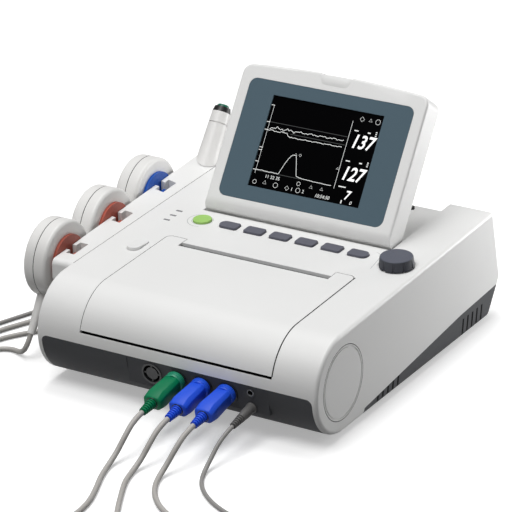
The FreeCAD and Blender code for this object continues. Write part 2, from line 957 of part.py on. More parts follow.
def on_panel(x, z):
    y = panel_low_y * (nose_top_z - z) / (nose_top_z - panel_low_z)
    return FreeCAD.Placement(V(x, y, z), FreeCAD.Rotation(V(1, 0, 0), RIGHT_ANGLE + panel_lean))


def rod(radius, z0, z1):
    return Part.makeCylinder(radius, z1 - z0, V(0, 0, z0))


def socket_places():
    return [on_panel(socket_x + (k - 1) * socket_pitch, socket_z) for k in range(plug_sockets + 1)]


def jack_places():
    return [on_panel(jack_x, jack_upper_z), on_panel(jack_x, jack_lower_z)]


def connector_panel():
    outline = [(0, nose_top_z), (panel_low_y, panel_low_z), (panel_low_y + panel_depth, panel_low_z),
               (panel_depth, nose_top_z)]
    panel = side_prism(outline, panel_left, panel_right)
    for place in socket_places():
        panel = panel.cut(placed(rod(socket_radius, -2 * overrun, overrun), place))
    for place in jack_places():
        panel = panel.cut(placed(rod(jack_radius, -2 * overrun, overrun), place))
    return panel


def front_sockets():
    cups = []
    cup = rod(socket_radius, -socket_depth - wall, socket_rise)
    ring = rod(socket_bore, -socket_depth, overrun).cut(rod(socket_core, -socket_depth, 0))
    cup = cup.cut(ring)
    for place in socket_places():
        cups.append(placed(cup, place))
    jack = rod(jack_radius, -jack_depth - wall, jack_rise).cut(rod(jack_bore, -jack_depth, overrun))
    for place in jack_places():
        cups.append(placed(jack, place))
    return cups


def ribbed_boot(root, tip, z0, length):
    boot = Part.makeCone(root, tip, length, V(0, 0, z0))
    step = length / (boot_rings + 1)
    for k in range(boot_rings):
        z = z0 + step * (k + boot_ring_share)
        radius = root + (tip - root) * (z - z0) / length - boot_ring_depth
        end = z + step * boot_ring_share
        boot = boot.cut(rod(root + overrun, z, end).cut(rod(radius, z, end)))
    return boot


def round_plug(k):
    grip = socket_rise + collar_length
    end = grip + plug_length
    wide = plug_width / 2
    tall = plug_height / 2
    body = rounded_rect(-wide, wide, -tall, tall, plug_round, grip, end)
    side = [(-plug_height, grip), (tall, grip), (tall, grip + plug_length * plug_flat_share),
            (boot_radius, end), (-boot_radius, end), (-plug_height, grip + plug_length * plug_belly_share)]
    body = body.common(side_prism(side, -plug_width, plug_width))
    spigot = rod(spigot_radius, socket_rise - spigot_length, socket_rise)
    spigot = spigot.cut(rod(spigot_bore, socket_rise - spigot_length, socket_rise))
    collar = rod(collar_radius, socket_rise, grip)
    boot = ribbed_boot(boot_radius, boot_tip_radius, end, boot_length)
    return placed(joined([spigot, collar, body, boot]), on_panel(socket_x + k * socket_pitch, socket_z))


def small_plug():
    pin = rod(small_pin_radius, jack_rise - small_pin_length, jack_rise)
    body = rod(small_radius, jack_rise, jack_rise + small_length)
    boot = ribbed_boot(small_boot_radius, small_tip_radius, jack_rise + small_length, small_boot_length)
    return placed(joined([pin, body, boot]), on_panel(jack_x, jack_lower_z))


# Side holder
def holder_top(y):
    return holder_top_z + (y - holder_top_y) * math.tan(math.radians(holder_slope))


holder_outer = -half - holder_depth
lip_inner = holder_outer + lip_thick
marker_turn = math.radians(marker_lean)
marker_along = V(0, math.sin(marker_turn), math.cos(marker_turn))
marker_place = FreeCAD.Placement(V(marker_x, marker_y, marker_z), FreeCAD.Rotation(V(1, 0, 0), -marker_lean))


def transducer_centre(k):
    return transducer_y + k * transducer_pitch, transducer_z + k * transducer_step


# Space over the holder, whose top twists from the cover's edge up to its own outer edge
def holder_crown(rise):
    ends = []
    for y in (0, far):
        outer = V(holder_outer, y, holder_top(y) + rise)
        inner = V(-half, y, top_z(y) + rise)
        above = V(0, 0, body_depth)
        ends.append(Part.makePolygon([outer, inner, inner + above, outer + above, outer]))
    return Part.makeLoft(ends, True, True)


def transducer_holder():
    corners = [V(0, holder_front, holder_low_z), V(0, holder_rear_start, holder_low_z),
               V(0, holder_rear_start + holder_low_z - holder_rear_low_z, holder_rear_low_z),
               V(0, holder_rear, holder_rear_low_z), V(0, holder_rear, holder_top(holder_rear)),
               V(0, holder_front, holder_top(holder_front))]
    radii = [holder_nose_radius, 0, 0, holder_nose_radius, holder_nose_radius, holder_nose_radius]
    holder = rounded_face(corners, radii).extrude(V(holder_depth, 0, 0)).translate(V(holder_outer, 0, 0))
    for k in range(transducer_count):
        y, z = transducer_centre(k)
        low = z - neck_radius - neck_gap
        across = notch_width / 2
        notch = box(holder_outer - overrun, lip_inner, y - across, y + across, low + across, z + overrun * 2)
        notch = notch.fuse(bar_x(y, low + across, across, holder_outer - overrun, lip_inner))
        wide = pocket_width / 2
        pocket = box(lip_inner, lip_inner + pocket_depth, y - wide, y + wide, z - head_radius - neck_gap,
                     z + overrun * 2)
        holder = holder.cut(notch).cut(pocket)
    holder = holder.cut(holder_crown(-fit))
    bore = rod(marker_radius + marker_clearance, -marker_in, marker_out)
    hole = rod(marker_cord_hole, -marker_in - overrun * 2, 0)
    return holder.cut(placed(bore.fuse(hole), marker_place))


def transducer_case(k):
    y, z = transducer_centre(k)
    face = holder_outer - transducer_gap - button_disc_thick
    seam = face - transducer_seam
    outer = face - transducer_thick
    rim = transducer_radius
    front = bar_x(y, z, rim, seam, face)
    front = front.makeFillet(transducer_edge, end_edges(front, face))
    groove = seam - seam_groove
    back = bar_x(y, z, rim, outer, groove).fuse(bar_x(y, z, rim - seam_groove, groove, seam))
    back = back.makeFillet(transducer_edge, end_edges(back, outer))
    turn = math.radians(lead_turn)
    along = V(0, -math.sin(turn), -math.cos(turn))
    middle = V(outer + lead_boot_offset, y, z)
    boot = Part.makeCone(lead_boot_root, lead_boot_tip, lead_boot_length + lead_boot_sink,
                         middle + along * (rim - lead_boot_sink), along)
    return [front, joined([back, boot.cut(bar_x(y, z, rim - seam_groove, outer, seam))])]


def lead_end(k):
    y, z = transducer_centre(k)
    turn = math.radians(lead_turn)
    outer = holder_outer - transducer_gap - button_disc_thick - transducer_thick
    reach = transducer_radius + lead_boot_length
    return V(outer + lead_boot_offset, y - reach * math.sin(turn), z - reach * math.cos(turn))


def transducer_button(k):
    y, z = transducer_centre(k)
    face = holder_outer - transducer_gap - button_disc_thick
    disc = bar_x(y, z, button_disc_radius, face, face + button_disc_thick)
    neck = bar_x(y, z, neck_radius, face, lip_inner + head_gap)
    head = bar_x(y, z, head_radius, lip_inner + head_gap, lip_inner + head_gap + head_thick)
    return joined([disc, neck, head])


# Event marker
def event_marker():
    top = marker_out - marker_collar
    shaft = placed(rod(marker_radius, marker_clearance - marker_in, top), marker_place)
    skirt = Part.makeCone(marker_skirt_radius, marker_neck_radius, top + marker_skirt_drop,
                          V(0, 0, -marker_skirt_drop))
    skirt = placed(skirt, marker_place).common(holder_crown(marker_clearance))
    ring = marker_out - marker_seam - marker_collar
    groove = rod(marker_radius + overrun, ring, ring + seam_groove).cut(rod(marker_radius, 0, top))
    return joined([shaft, skirt]).cut(placed(groove, marker_place))


def marker_collar_ring():
    low = marker_out - marker_collar
    tip = marker_tip_radius + marker_collar_wall
    ring = Part.makeCone(marker_neck_radius, tip, marker_collar, V(0, 0, low))
    return placed(ring.cut(rod(marker_button_radius + key_gap, low, marker_out + overrun)), marker_place)


def marker_button():
    low = marker_out - marker_collar + marker_button_travel + key_gap
    button = rod(marker_button_radius, low, marker_out + marker_button_rise)
    return placed(top_rounded(button, marker_out + marker_button_rise, marker_button_edge), marker_place)


# Inside, rear and underside
def board_posts():
    xs = (board_left + board_post_inset, board_right - board_post_inset)
    return [(x, y) for x in xs for y in (board_front + board_post_inset, board_rear - board_post_inset)]


def main_board():
    return box(board_left, board_right, board_front, board_rear, board_z, board_z + board_thick)


floor_z = foot_height + wall


def power_supply():
    return box(supply_x, supply_x + supply_width, supply_y, supply_y + supply_depth, floor_z,
               floor_z + supply_height)


def battery_pack():
    return box(supply_x, supply_x + battery_width, battery_y, battery_y + battery_depth, floor_z,
               floor_z + battery_height)


rear_top = top_z(rear_top_y)
rear_lean = math.degrees(math.atan2(body_depth - rear_top_y, rear_top - rear_crown_z))


def on_rear(x, z):
    y = body_depth - (body_depth - rear_top_y) * (z - rear_crown_z) / (rear_top - rear_crown_z)
    return FreeCAD.Placement(V(x, y, z), FreeCAD.Rotation(V(1, 0, 0), rear_lean - RIGHT_ANGLE))


def block_z(width, height, z0, z1):
    return box(-width / 2, width / 2, -height / 2, height / 2, z0, z1)


def mains_inlet():
    wide = inlet_width / 2 + inlet_flange
    tall = inlet_height / 2 + inlet_flange
    flange = rounded_rect(-wide, wide, -tall, tall, inlet_flange, 0, inlet_rim)
    inlet = flange.fuse(block_z(inlet_width, inlet_height, -inlet_depth, 0))
    inlet = inlet.cut(block_z(inlet_width - 2 * wall, inlet_height - 2 * wall, -inlet_cavity, overrun))
    pin = block_z(inlet_pin_width, inlet_pin_length, -inlet_cavity, inlet_pin_length - inlet_cavity)
    for x, y in ((0, -inlet_pin_drop), (-inlet_pin_pitch, inlet_pin_drop), (inlet_pin_pitch, inlet_pin_drop)):
        inlet = inlet.fuse(pin.copy().translate(V(x, y, 0)))
    return placed(inlet, on_rear(inlet_x, inlet_z))


def power_rocker():
    low = -rocker_depth
    tall = rocker_height / 2
    wide = rocker_width / 2
    dip = rocker_bulge * rocker_dip_share
    points = [(-tall, low), (tall, low), (tall, rocker_bulge), (0, dip), (-tall, rocker_bulge)]
    rocker = side_prism(points, -wide, wide)
    reach = wide + rocker_pin_reach - fit
    rocker = rocker.fuse(bar_x(0, -rocker_pivot, rocker_pin, -reach, reach))
    rocker.rotate(V(0, 0, -rocker_pivot), V(1, 0, 0), -rocker_swing)
    return placed(rocker, on_rear(rocker_x, inlet_z))


def rocker_bearings():
    near = rocker_width / 2 + rocker_gap
    far_side = near + rocker_bearing
    across = rocker_bearing
    block = box(near, far_side, -across, across, -rocker_pivot - rocker_bearing, -wall / 2)
    bore = bar_x(0, -rocker_pivot, rocker_pin + pin_clearance, 0, near + rocker_pin_reach)
    right = block.cut(bore)
    return [placed(bearing, on_rear(rocker_x, inlet_z)) for bearing in (right, mirrored(right))]


def rear_holes():
    inlet = placed(block_z(inlet_width, inlet_height, -overrun, overrun), on_rear(inlet_x, inlet_z))
    rocker = block_z(rocker_width + 2 * rocker_gap, rocker_height + 2 * rocker_end_gap, -overrun, overrun)
    return [inlet, placed(rocker, on_rear(rocker_x, inlet_z))]


def rubber_feet():
    places = [(x, y) for x in (-foot_inset_x, foot_inset_x) for y in (foot_front_y, foot_rear_y)]
    return [Part.makeCone(foot_radius - foot_taper, foot_radius, foot_height, V(x, y, 0)) for x, y in places]


def cover_screws():
    screws = []
    for x, y in screw_places():
        low = foot_height - screw_head_height
        head = Part.makeCylinder(screw_head_radius, screw_head_height, V(x, y, low))
        shank = Part.makeCylinder(screw_radius, wall + screw_length, V(x, y, foot_height))
        screws.append(joined([head, shank]))
    return screws


# Every piece under its own name
block = housing_block()
hollow = housing_hollow()
screen_block = display_block()
pieces = {
    "top_cover": top_cover(block, hollow),
    "base_tray": base_tray(block, hollow),
    "side_cap": side_cap(),
    "connector_panel": connector_panel(),
    "front_sockets": front_sockets(),
    "transducer_holder": transducer_holder(),
    "indicator_lenses": indicator_lenses(),
    "knob_encoder": knob_encoder(),
    "main_board": main_board(),
    "power_supply": power_supply(),
    "battery_pack": battery_pack(),
    "print_head": print_head(),
    "paper_motor": paper_motor(),
    "paper_pack": paper_pack(),
    "mains_inlet": mains_inlet(),
    "power_rocker": power_rocker(),
    "hinge_pins": hinge_pins(),
    "display_bumpers": display_bumpers(),
    "rubber_feet": rubber_feet(),
    "cover_screws": cover_screws(),
    "paper_door": paper_door(block, hollow),
    "platen_roller": platen_roller(),
    "platen_gear": platen_gear(),
    "drive_pinion": drive_pinion(),
    "door_latch": door_latch(),
    "start_key": start_key(),
    "control_knob": control_knob(),
    "knob_spindle": knob_spindle(),
    "display_front_frame": placed(display_front_frame(screen_block), display_place),
    "display_rear_cover": placed(display_rear_cover(screen_block), display_place),
    "display_bezel": placed(display_bezel(), display_place),
    "screen_panel": placed(screen_panel(), display_place),
    "event_marker": event_marker(),
    "marker_collar": marker_collar_ring(),
    "marker_button": marker_button(),
}
for k in range(key_count):
    pieces["grey_key_%d" % (k + 1)] = grey_key(k)
for k in range(transducer_count):
    pieces["transducer_%d_case" % (k + 1)] = transducer_case(k)
    pieces["transducer_%d_button" % (k + 1)] = transducer_button(k)

# The origin is the middle of the footprint, on the table
lists = [shape if isinstance(shape, list) else [shape] for shape in pieces.values()]
whole = Part.makeCompound([solid for shapes in lists for solid in shapes])
bounds = whole.optimalBoundingBox(True)
shift = V(-bounds.Center.x, -bounds.Center.y, -bounds.ZMin)


# Cords: each runs from its plug to a tied coil in front, round the corner of the table and up to its sensor
def front_lane(s, d, z):
    turn = math.radians(lane_turn)
    x = lane_x + s * math.cos(turn) + d * math.sin(turn)
    y = lane_y + s * math.sin(turn) - d * math.cos(turn)
    return V(x, y, z)


def along_panel(x, z, reach):
    return on_panel(x, z).multVec(V(0, 0, reach))


def plug_lead(k):
    if k < plug_sockets:
        x = socket_x + k * socket_pitch
        reach = socket_rise + collar_length + plug_length + boot_length
        points = [along_panel(x, socket_z, reach), along_panel(x, socket_z, reach + plug_straight)]
    else:
        reach = jack_rise + small_length + small_boot_length
        start = along_panel(jack_x, jack_lower_z, reach)
        points = [start, along_panel(jack_x, jack_lower_z, reach + small_straight)]
    return points + plug_routes[k]


# Points of the two free stretches of each cord, chosen by hand
plug_routes = [
    [V(1.5, -83, 21), V(-1, -93, 9), V(-1, -107, 2.6), V(5, -127, 2.6), V(14, -148, 2.6),
     V(22, -170, 2.6), V(25, -195, 2.6), V(19, -225, 2.6), V(11.4, -256, 2.6)],
    [V(27, -82, 21), V(24, -91, 9), V(23, -104, 2.6), V(28, -124, 2.6), V(38, -145, 2.6),
     V(49, -167, 2.6), V(62, -190, 2.6), V(80.9, -217, 2.6)],
    [V(53, -82, 21), V(49.5, -91, 9), V(49, -103, 2.6), V(56, -121, 2.6), V(68, -138, 2.6),
     V(85, -153, 2.6), V(111, -166, 2.6), V(145, -181, 2.6)],
    [V(78, -52, 19), V(77, -63, 9), V(78, -76, 2.2), V(86, -94, 2.2), V(100, -110, 2.2),
     V(120, -124, 2.2), V(145, -134, 2.2), V(174, -139, 2.2), V(208, -146, 2.2)],
]
sensor_routes = [
    [V(-3, -361, 16), V(-28, -366, 7), V(-45, -355, 2.6), V(-51, -333, 2.6), V(-51, -300, 2.6),
     V(-57, -262, 2.6), V(-71, -222, 2.6), V(-90, -178, 2.6), V(-116, -132, 2.6), V(-144, -88, 2.6),
     V(-174, -46, 2.6), V(-200, -12, 2.6), V(-216, 6, 2.6), V(-227, 23, 2.6), V(-228, 41, 2.6),
     V(-214, 50, 2.6), V(-199, 45, 3.5)],
    [V(70, -318, 17), V(51, -336, 8), V(30, -355, 2.6), V(6, -369, 2.6), V(-22, -377, 2.6),
     V(-48, -371, 2.6), V(-64, -348, 2.6), V(-67, -310, 2.6), V(-73, -268, 2.6), V(-86, -226, 2.6),
     V(-104, -182, 2.6), V(-130, -134, 2.6), V(-158, -90, 2.6), V(-186, -50, 2.6), V(-213, -14, 2.6),
     V(-232, 14, 2.6), V(-241, 38, 2.6), V(-238, 60, 2.6), V(-226, 80, 2.6), V(-211, 99, 2.6),
     V(-199, 113, 3.5)],
    [V(136, -277, 17), V(115, -295, 8), V(95, -316, 2.6), V(72, -335, 2.6), V(48, -353, 2.6),
     V(22, -370, 2.6), V(-6, -382, 2.6), V(-35, -388, 2.6), V(-60, -380, 2.6), V(-75, -356, 2.6),
     V(-78, -318, 2.6), V(-83, -276, 2.6), V(-96, -232, 2.6), V(-115, -188, 2.6), V(-141, -140, 2.6),
     V(-169, -96, 2.6), V(-197, -56, 2.6), V(-225, -18, 2.6), V(-246, 14, 2.6), V(-254, 46, 2.6),
     V(-249, 76, 2.6), V(-236, 104, 2.6), V(-223, 134, 2.6), V(-211, 164, 2.6), V(-199, 188, 3.5)],
    [V(199, -242, 13), V(178, -258, 6), V(157, -277, 2.2), V(135, -298, 2.2), V(112, -321, 2.2),
     V(88, -342, 2.2), V(62, -361, 2.2), V(34, -379, 2.2), V(4, -392, 2.2), V(-28, -399, 2.2),
     V(-58, -395, 2.2), V(-79, -376, 2.2), V(-88, -346, 2.2), V(-91, -308, 2.2), V(-97, -268, 2.2),
     V(-110, -226, 2.2), V(-130, -182, 2.2), V(-156, -136, 2.2), V(-184, -93, 2.2), V(-212, -54, 2.2),
     V(-239, -18, 2.2), V(-259, 14, 2.2), V(-267, 48, 2.2), V(-262, 82, 2.2), V(-250, 114, 2.2),
     V(-237, 148, 2.2), V(-225, 184, 2.2), V(-212, 218, 2.2), V(-195, 246, 2.2), V(-178, 262, 9),
     V(-165, 268, 26)],
]


def coil_corners(k):
    radius = coil_start_radii[k]
    size = 2 * cord_radii[k]
    step = (size + coil_gap) / 2
    rise = size + layer_gap
    z = coil_rest + cord_radii[k]
    inward = -1
    corners = [(radius, z)]
    for layer in range(coil_layers):
        halves = layer_halves + (1 if layer == 0 else 0)
        for half_turn in range(halves):
            radius += inward * step
            corners.append((radius, z))
        if layer < coil_layers - 1:
            z += rise
            corners.append((radius, z))
            inward = -inward
    return corners


def coil_points(k):
    s = coil_centres[k]
    points = []
    for i, (radius, z) in enumerate(coil_corners(k)):
        side = 1 if i % 2 == 0 else -1
        points.append((front_lane(s + side * radius, coil_out, z), side))
    return points


def coil_path(k):
    out = front_lane(0, 1, 0) - front_lane(0, 0, 0)
    row = front_lane(1, 0, 0) - front_lane(0, 0, 0)
    corners = coil_points(k)
    edges = []
    for (start, side), (end, other) in zip(corners, corners[1:]):
        reach = start.distanceToPoint(end) / 2
        middle = (start + end) * (1 / 2)
        crown = middle + out * (side * reach)
        diagonal = math.sqrt(1 / 2)
        first = middle + ((start - middle) + out * (side * reach)) * diagonal
        second = middle + ((end - middle) + out * (side * reach)) * diagonal
        edges.append(Part.Arc(start, first, crown).toShape())
        edges.append(Part.Arc(crown, second, end).toShape())
    last, side = corners[-1]
    radius = coil_corners(k)[-1][0] + (2 * cord_radii[k] + coil_gap) / 4
    centre = last - row * radius
    end = centre + out * radius
    bend = centre + (row + out) * (radius * math.sqrt(1 / 2))
    edges.append(Part.Arc(last, bend, end).toShape())
    straight = end - row * (2 * cord_radii[k])
    edges.append(Part.LineSegment(end, straight).toShape())
    first, side = corners[0]
    start = first - out * (2 * cord_radii[k])
    return [Part.LineSegment(start, first).toShape()] + edges, start, straight


def sensor_end(k):
    if k < transducer_count:
        end = lead_end(k)
        turn = math.radians(lead_turn)
        along = V(0, -math.sin(turn), -math.cos(turn))
    else:
        end = marker_place.multVec(V(0, 0, -marker_in))
        along = marker_along * -1
    straight = lead_straight if k < transducer_count else marker_straight
    return [end + along * straight, end]


def sensor_lead(k):
    return sensor_routes[k] + sensor_end(k)


def cord_section(start, ahead, radius):
    ahead = V(ahead).normalize()
    side = ahead.cross(V(0, 0, 1)).normalize()
    above = side.cross(ahead)
    corners = []
    for k in range(cord_sides):
        turn = 2 * math.pi * k / cord_sides
        corners.append(start + (side * math.cos(turn) + above * math.sin(turn)) * radius)
    return Part.makePolygon(corners + corners[:1])


def tube(edges, start, ahead, radius):
    path = Part.Wire(edges)
    shell = path.makePipeShell([cord_section(start, ahead, radius)], True, False)
    solid = shell if shell.ShapeType == "Solid" else Part.Solid(shell)
    if solid.Volume < 0:
        solid.reverse()
    area = cord_sides / 2 * math.sin(2 * math.pi / cord_sides) * radius * radius
    print("tube volume over section times length %.4f" % (solid.Volume / (area * path.Length)))
    return solid, path.Length


def lead_tube(name, points, radius):
    edges = []
    last = points[0]
    radii = []
    for before, point, after in zip(points, points[1:], points[2:]):
        back = (before - point).normalize()
        ahead = (after - point).normalize()
        turn = (math.pi - back.getAngle(ahead)) / 2
        cut = bend_share * min(point.distanceToPoint(before), point.distanceToPoint(after))
        bend = cut / math.tan(turn)
        radii.append(bend)
        start = point + back * cut
        end = point + ahead * cut
        middle = point + (back + ahead).normalize() * (bend / math.cos(turn) - bend)
        edges.append(Part.LineSegment(last, start).toShape())
        edges.append(Part.Arc(start, middle, end).toShape())
        last = end
    edges.append(Part.LineSegment(last, points[-1]).toShape())
    print(name, "least bend radius %.1f" % min(radii), "bends", [round(r) for r in radii])
    return tube(edges, points[0], points[1] - points[0], radius)


def own_gap(path, diameter):
    wire = Part.Wire(path)
    points = wire.discretize(Distance=diameter / 2)
    apart = int(round(4 * math.pi))
    least = wire.Length
    for i, point in enumerate(points):
        for other in points[i + apart:]:
            least = min(least, point.distanceToPoint(other))
    return least - diameter


def coil_tie(k):
    s = coil_centres[k]
    radii = [radius for radius, z in coil_corners(k)]
    tops = [z for radius, z in coil_corners(k)]
    size = cord_radii[k] + tie_gap
    near = min(radii) - size
    far_side = max(radii) + size
    low = min(tops) - size
    high = max(tops) + size
    loop = box(-tie_width / 2, tie_width / 2, near - tie_thick, far_side + tie_thick, low - tie_thick,
               high + tie_thick)
    loop = loop.cut(box(-tie_width, tie_width, near, far_side, low, high))
    centre = front_lane(s, coil_out, 0)
    return placed(loop, FreeCAD.Placement(centre, FreeCAD.Rotation(V(0, 0, 1), lane_turn)))


for k in range(plug_sockets):
    pieces["round_plug_%d" % (k + 1)] = round_plug(k)
pieces["marker_plug"] = small_plug()
for k in range(plug_sockets + 1):
    path, start, end = coil_path(k)
    coil, coil_length = tube(path, start, path[0].tangentAt(path[0].FirstParameter), cord_radii[k])
    to_plug = plug_lead(k) + [start]
    front, front_length = lead_tube("cord %d front" % (k + 1), to_plug, cord_radii[k])
    rear, rear_length = lead_tube("cord %d rear" % (k + 1), [end] + sensor_lead(k), cord_radii[k])
    pieces["cord_%d_coil" % (k + 1)] = coil
    pieces["cord_%d_leads" % (k + 1)] = [front, rear]
    total = front_length + coil_length + rear_length
    print("cord %d front %.0f coil %.0f" % (k + 1, front_length, coil_length))
    print("cord %d rear %.0f total %.0f" % (k + 1, rear_length, total))
    print("cord %d coil gap %.2f" % (k + 1, own_gap(path, 2 * cord_radii[k])))
pieces["cord_ties"] = [coil_tie(k) for k in range(plug_sockets + 1)]

os.makedirs("parts", exist_ok=True)
for name, shape in pieces.items():
    solid = Part.makeCompound(shape) if isinstance(shape, list) else shape
    solid.translate(shift)
    solid.exportStep("parts/%s.step" % name)
print("moved by", shift, "nodes", len(pieces))
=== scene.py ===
# %% [markdown]
# # A table-top fetal monitor
# The CAD frame holds every solid of the monitor: housing, tilting display, paper door, keys, knob, side
# holder, transducers and cords. This lesson loads that frame and dresses it: finishes first come from what
# each piece is made of, then come the pieces that only Blender can give, such as the picture on the screen
# and the limp cords. Places and sizes are in millimetres, unless a name ends in _m.

# %% Load the frame
import math

import bpy
from mathutils import Matrix, Vector


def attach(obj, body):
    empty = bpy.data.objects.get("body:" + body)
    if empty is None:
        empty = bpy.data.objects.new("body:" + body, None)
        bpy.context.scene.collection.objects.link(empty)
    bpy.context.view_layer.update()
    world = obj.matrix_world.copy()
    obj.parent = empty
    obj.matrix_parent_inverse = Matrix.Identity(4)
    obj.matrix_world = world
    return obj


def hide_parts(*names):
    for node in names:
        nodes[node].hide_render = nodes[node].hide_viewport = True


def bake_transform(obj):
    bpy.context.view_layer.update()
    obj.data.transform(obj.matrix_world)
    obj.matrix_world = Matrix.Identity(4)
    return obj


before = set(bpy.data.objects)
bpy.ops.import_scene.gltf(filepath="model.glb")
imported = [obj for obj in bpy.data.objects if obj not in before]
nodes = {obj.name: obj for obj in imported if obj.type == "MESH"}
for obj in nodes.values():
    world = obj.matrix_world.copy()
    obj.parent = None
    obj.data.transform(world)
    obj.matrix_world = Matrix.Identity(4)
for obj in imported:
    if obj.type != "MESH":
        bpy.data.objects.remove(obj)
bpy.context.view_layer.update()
print("frame loaded with", len(nodes), "nodes")

# %% [markdown]
# The drawing behind the CAD starts at the nose of the front roll, in millimetres, while the frame starts at
# the middle of the footprint, in metres. One function carries a point from the drawing into the frame, and
# two more do the same for points drawn on the sloping top and on the tilted display.

# %% From the drawing to the frame
drawing_shift = Vector((25.4, -176.096821, 0.0))
top_slope = math.radians(2.08)
roll_radius = 47.5
roll_height = 52.5
hinge_y = 231.5
hinge_z = 113.3
display_tilt = math.radians(55.68)


def at(x, y, z):
    return (Vector((x, y, z)) + drawing_shift) / 1000


def on_top(x, y, rise):
    z = roll_height + roll_radius / math.cos(top_slope) + (y - roll_radius) * math.tan(top_slope)
    return at(x, y - rise * math.sin(top_slope), z + rise * math.cos(top_slope))


def on_display(x, up, out):
    y = hinge_y + up * math.cos(display_tilt) - out * math.sin(display_tilt)
    return at(x, y, hinge_z + up * math.sin(display_tilt) + out * math.cos(display_tilt))


print("display hinge at", [round(c, 4) for c in on_display(0, 0, 0)])

# %% [markdown]
# The camera stands to the right of the front and a little above, with a long lens, so that parallel edges
# stay nearly parallel. Its place and its small roll were worked out by fitting the edges of the housing. A
# small function puts it into the scene, and every later object too.

# %% Camera
camera_place = at(1334.7, -2042.0, 1209.3)
azimuth = math.radians(31.40)
elevation = math.radians(23.29)
roll = math.radians(-0.99)
frame_pixels = 512
focal_pixels = 3031.07
sensor_mm = 36.0


def placed(name, data):
    thing = bpy.data.objects.new(name, data)
    bpy.context.scene.collection.objects.link(thing)
    return thing


level = Vector((math.cos(azimuth), math.sin(azimuth), 0))
back = level.cross((0, 0, 1)) * math.cos(elevation) + Vector((0, 0, math.sin(elevation)))
upright = back.cross(level)
right = level * math.cos(roll) + upright * math.sin(roll)
above = upright * math.cos(roll) - level * math.sin(roll)
camera_data = bpy.data.cameras.new("camera")
camera_data.sensor_width = sensor_mm
camera_data.lens = focal_pixels * sensor_mm / frame_pixels
camera = placed("camera", camera_data)
camera.matrix_world = Matrix.Translation(camera_place) @ Matrix((right, above, back)).transposed().to_4x4()
bpy.context.scene.camera = camera
print("lens", round(camera_data.lens, 1), "mm")

# %% [markdown]
# Colours are written as on a paint card, in hex, and one function turns them to the linear values that
# Blender works in. Another small function adds a shader node with its settings and its links, which keeps
# each finish short.

# %% Colours and nodes


def linear(code):
    channels = [int(code[i:i + 2], 16) / 255 for i in (1, 3, 5)]
    return [c / 12.92 if c <= 0.04045 else ((c + 0.055) / 1.055) ** 2.4 for c in channels] + [1.0]


def add(tree, kind, inputs=None, **settings):
    node = tree.nodes.new(kind)
    for key, value in settings.items():
        setattr(node, key, value)
    for key, value in (inputs or {}).items():
        if isinstance(value, bpy.types.NodeSocket):
            tree.links.new(value, node.inputs[key])
        else:
            node.inputs[key].default_value = value
    return node


def blank(name):
    material = bpy.data.materials.new(name)
    material.use_nodes = True
    material.node_tree.nodes.clear()
    return material, material.node_tree


print("mid grey in linear light is", round(linear("#808080")[0], 3))

# %% [markdown]
# The object stands on a pale paper floor. The floor keeps the object's shadow, and the camera also gets a
# little white from it, so that the background is white with no more light on the object. For the same
# reason it throws only little light back up.

# %% Floor
floor_half_m = 6.0
floor_white = 0.36
floor_bounce = 0.10

floor_mesh = bpy.data.meshes.new("floor")
floor_signs = ((-1, -1), (1, -1), (1, 1), (-1, 1))
floor_corners = [(x * floor_half_m, y * floor_half_m, 0) for x, y in floor_signs]
floor_mesh.from_pydata(floor_corners, [], [(0, 1, 2, 3)])
floor = placed("floor", floor_mesh)
paper_floor, tree = blank("matt white paper")
path = add(tree, "ShaderNodeLightPath")
seen = add(tree, "ShaderNodeMath", {0: path.outputs["Is Camera Ray"], 1: path.outputs["Is Glossy Ray"]})
seen = add(tree, "ShaderNodeMath", {0: seen.outputs[0], 1: path.outputs["Is Transmission Ray"]},
           use_clamp=True)
seen = add(tree, "ShaderNodeMath", {0: seen.outputs[0], 1: floor_white}, operation="MULTIPLY")
tone = add(tree, "ShaderNodeMix", {0: path.outputs["Is Diffuse Ray"], 6: linear("#EDEDED"),
                                   7: (floor_bounce, floor_bounce, floor_bounce, 1)}, data_type="RGBA")
matt = add(tree, "ShaderNodeBsdfDiffuse", {"Color": tone.outputs[2]})
glow = add(tree, "ShaderNodeEmission", {"Strength": seen.outputs[0]})
both = add(tree, "ShaderNodeAddShader", {0: matt.outputs[0], 1: glow.outputs[0]})
add(tree, "ShaderNodeOutputMaterial", {"Surface": both.outputs[0]})
floor_mesh.materials.append(paper_floor)
print("floor laid,", 2 * floor_half_m, "m wide")

# %% [markdown]
# The light is that of a plain studio: two large soft lamps above, a small one beside the rear, and a weak
# even sky that is white where the camera sees it. A lamp's place, aim and size are in metres.

# %% Sky and lamps
sky_light = 0.22
sky_seen = 1.0

world = bpy.data.worlds.new("studio")
bpy.context.scene.world = world
world.use_nodes = True
tree = world.node_tree
tree.nodes.clear()
path = add(tree, "ShaderNodeLightPath")
seen = add(tree, "ShaderNodeMath", {
    0: path.outputs["Is Camera Ray"], 1: path.outputs["Is Transmission Ray"]}, use_clamp=True)
strength = add(tree, "ShaderNodeMapRange", {
    "Value": seen.outputs[0], "To Min": sky_light, "To Max": sky_seen})
sky = add(tree, "ShaderNodeBackground", {"Color": (1, 1, 1, 1), "Strength": strength.outputs[0]})
add(tree, "ShaderNodeOutputWorld", {"Surface": sky.outputs[0]})


def soft_lamp(name, place, aim, size, watts):
    data = bpy.data.lights.new(name, "AREA")
    data.shape = "DISK"
    data.size = size
    data.energy = watts
    lamp = placed(name, data)
    turn = (Vector(place) - Vector(aim)).to_track_quat("Z", "Y")
    lamp.matrix_world = Matrix.Translation(place) @ turn.to_matrix().to_4x4()


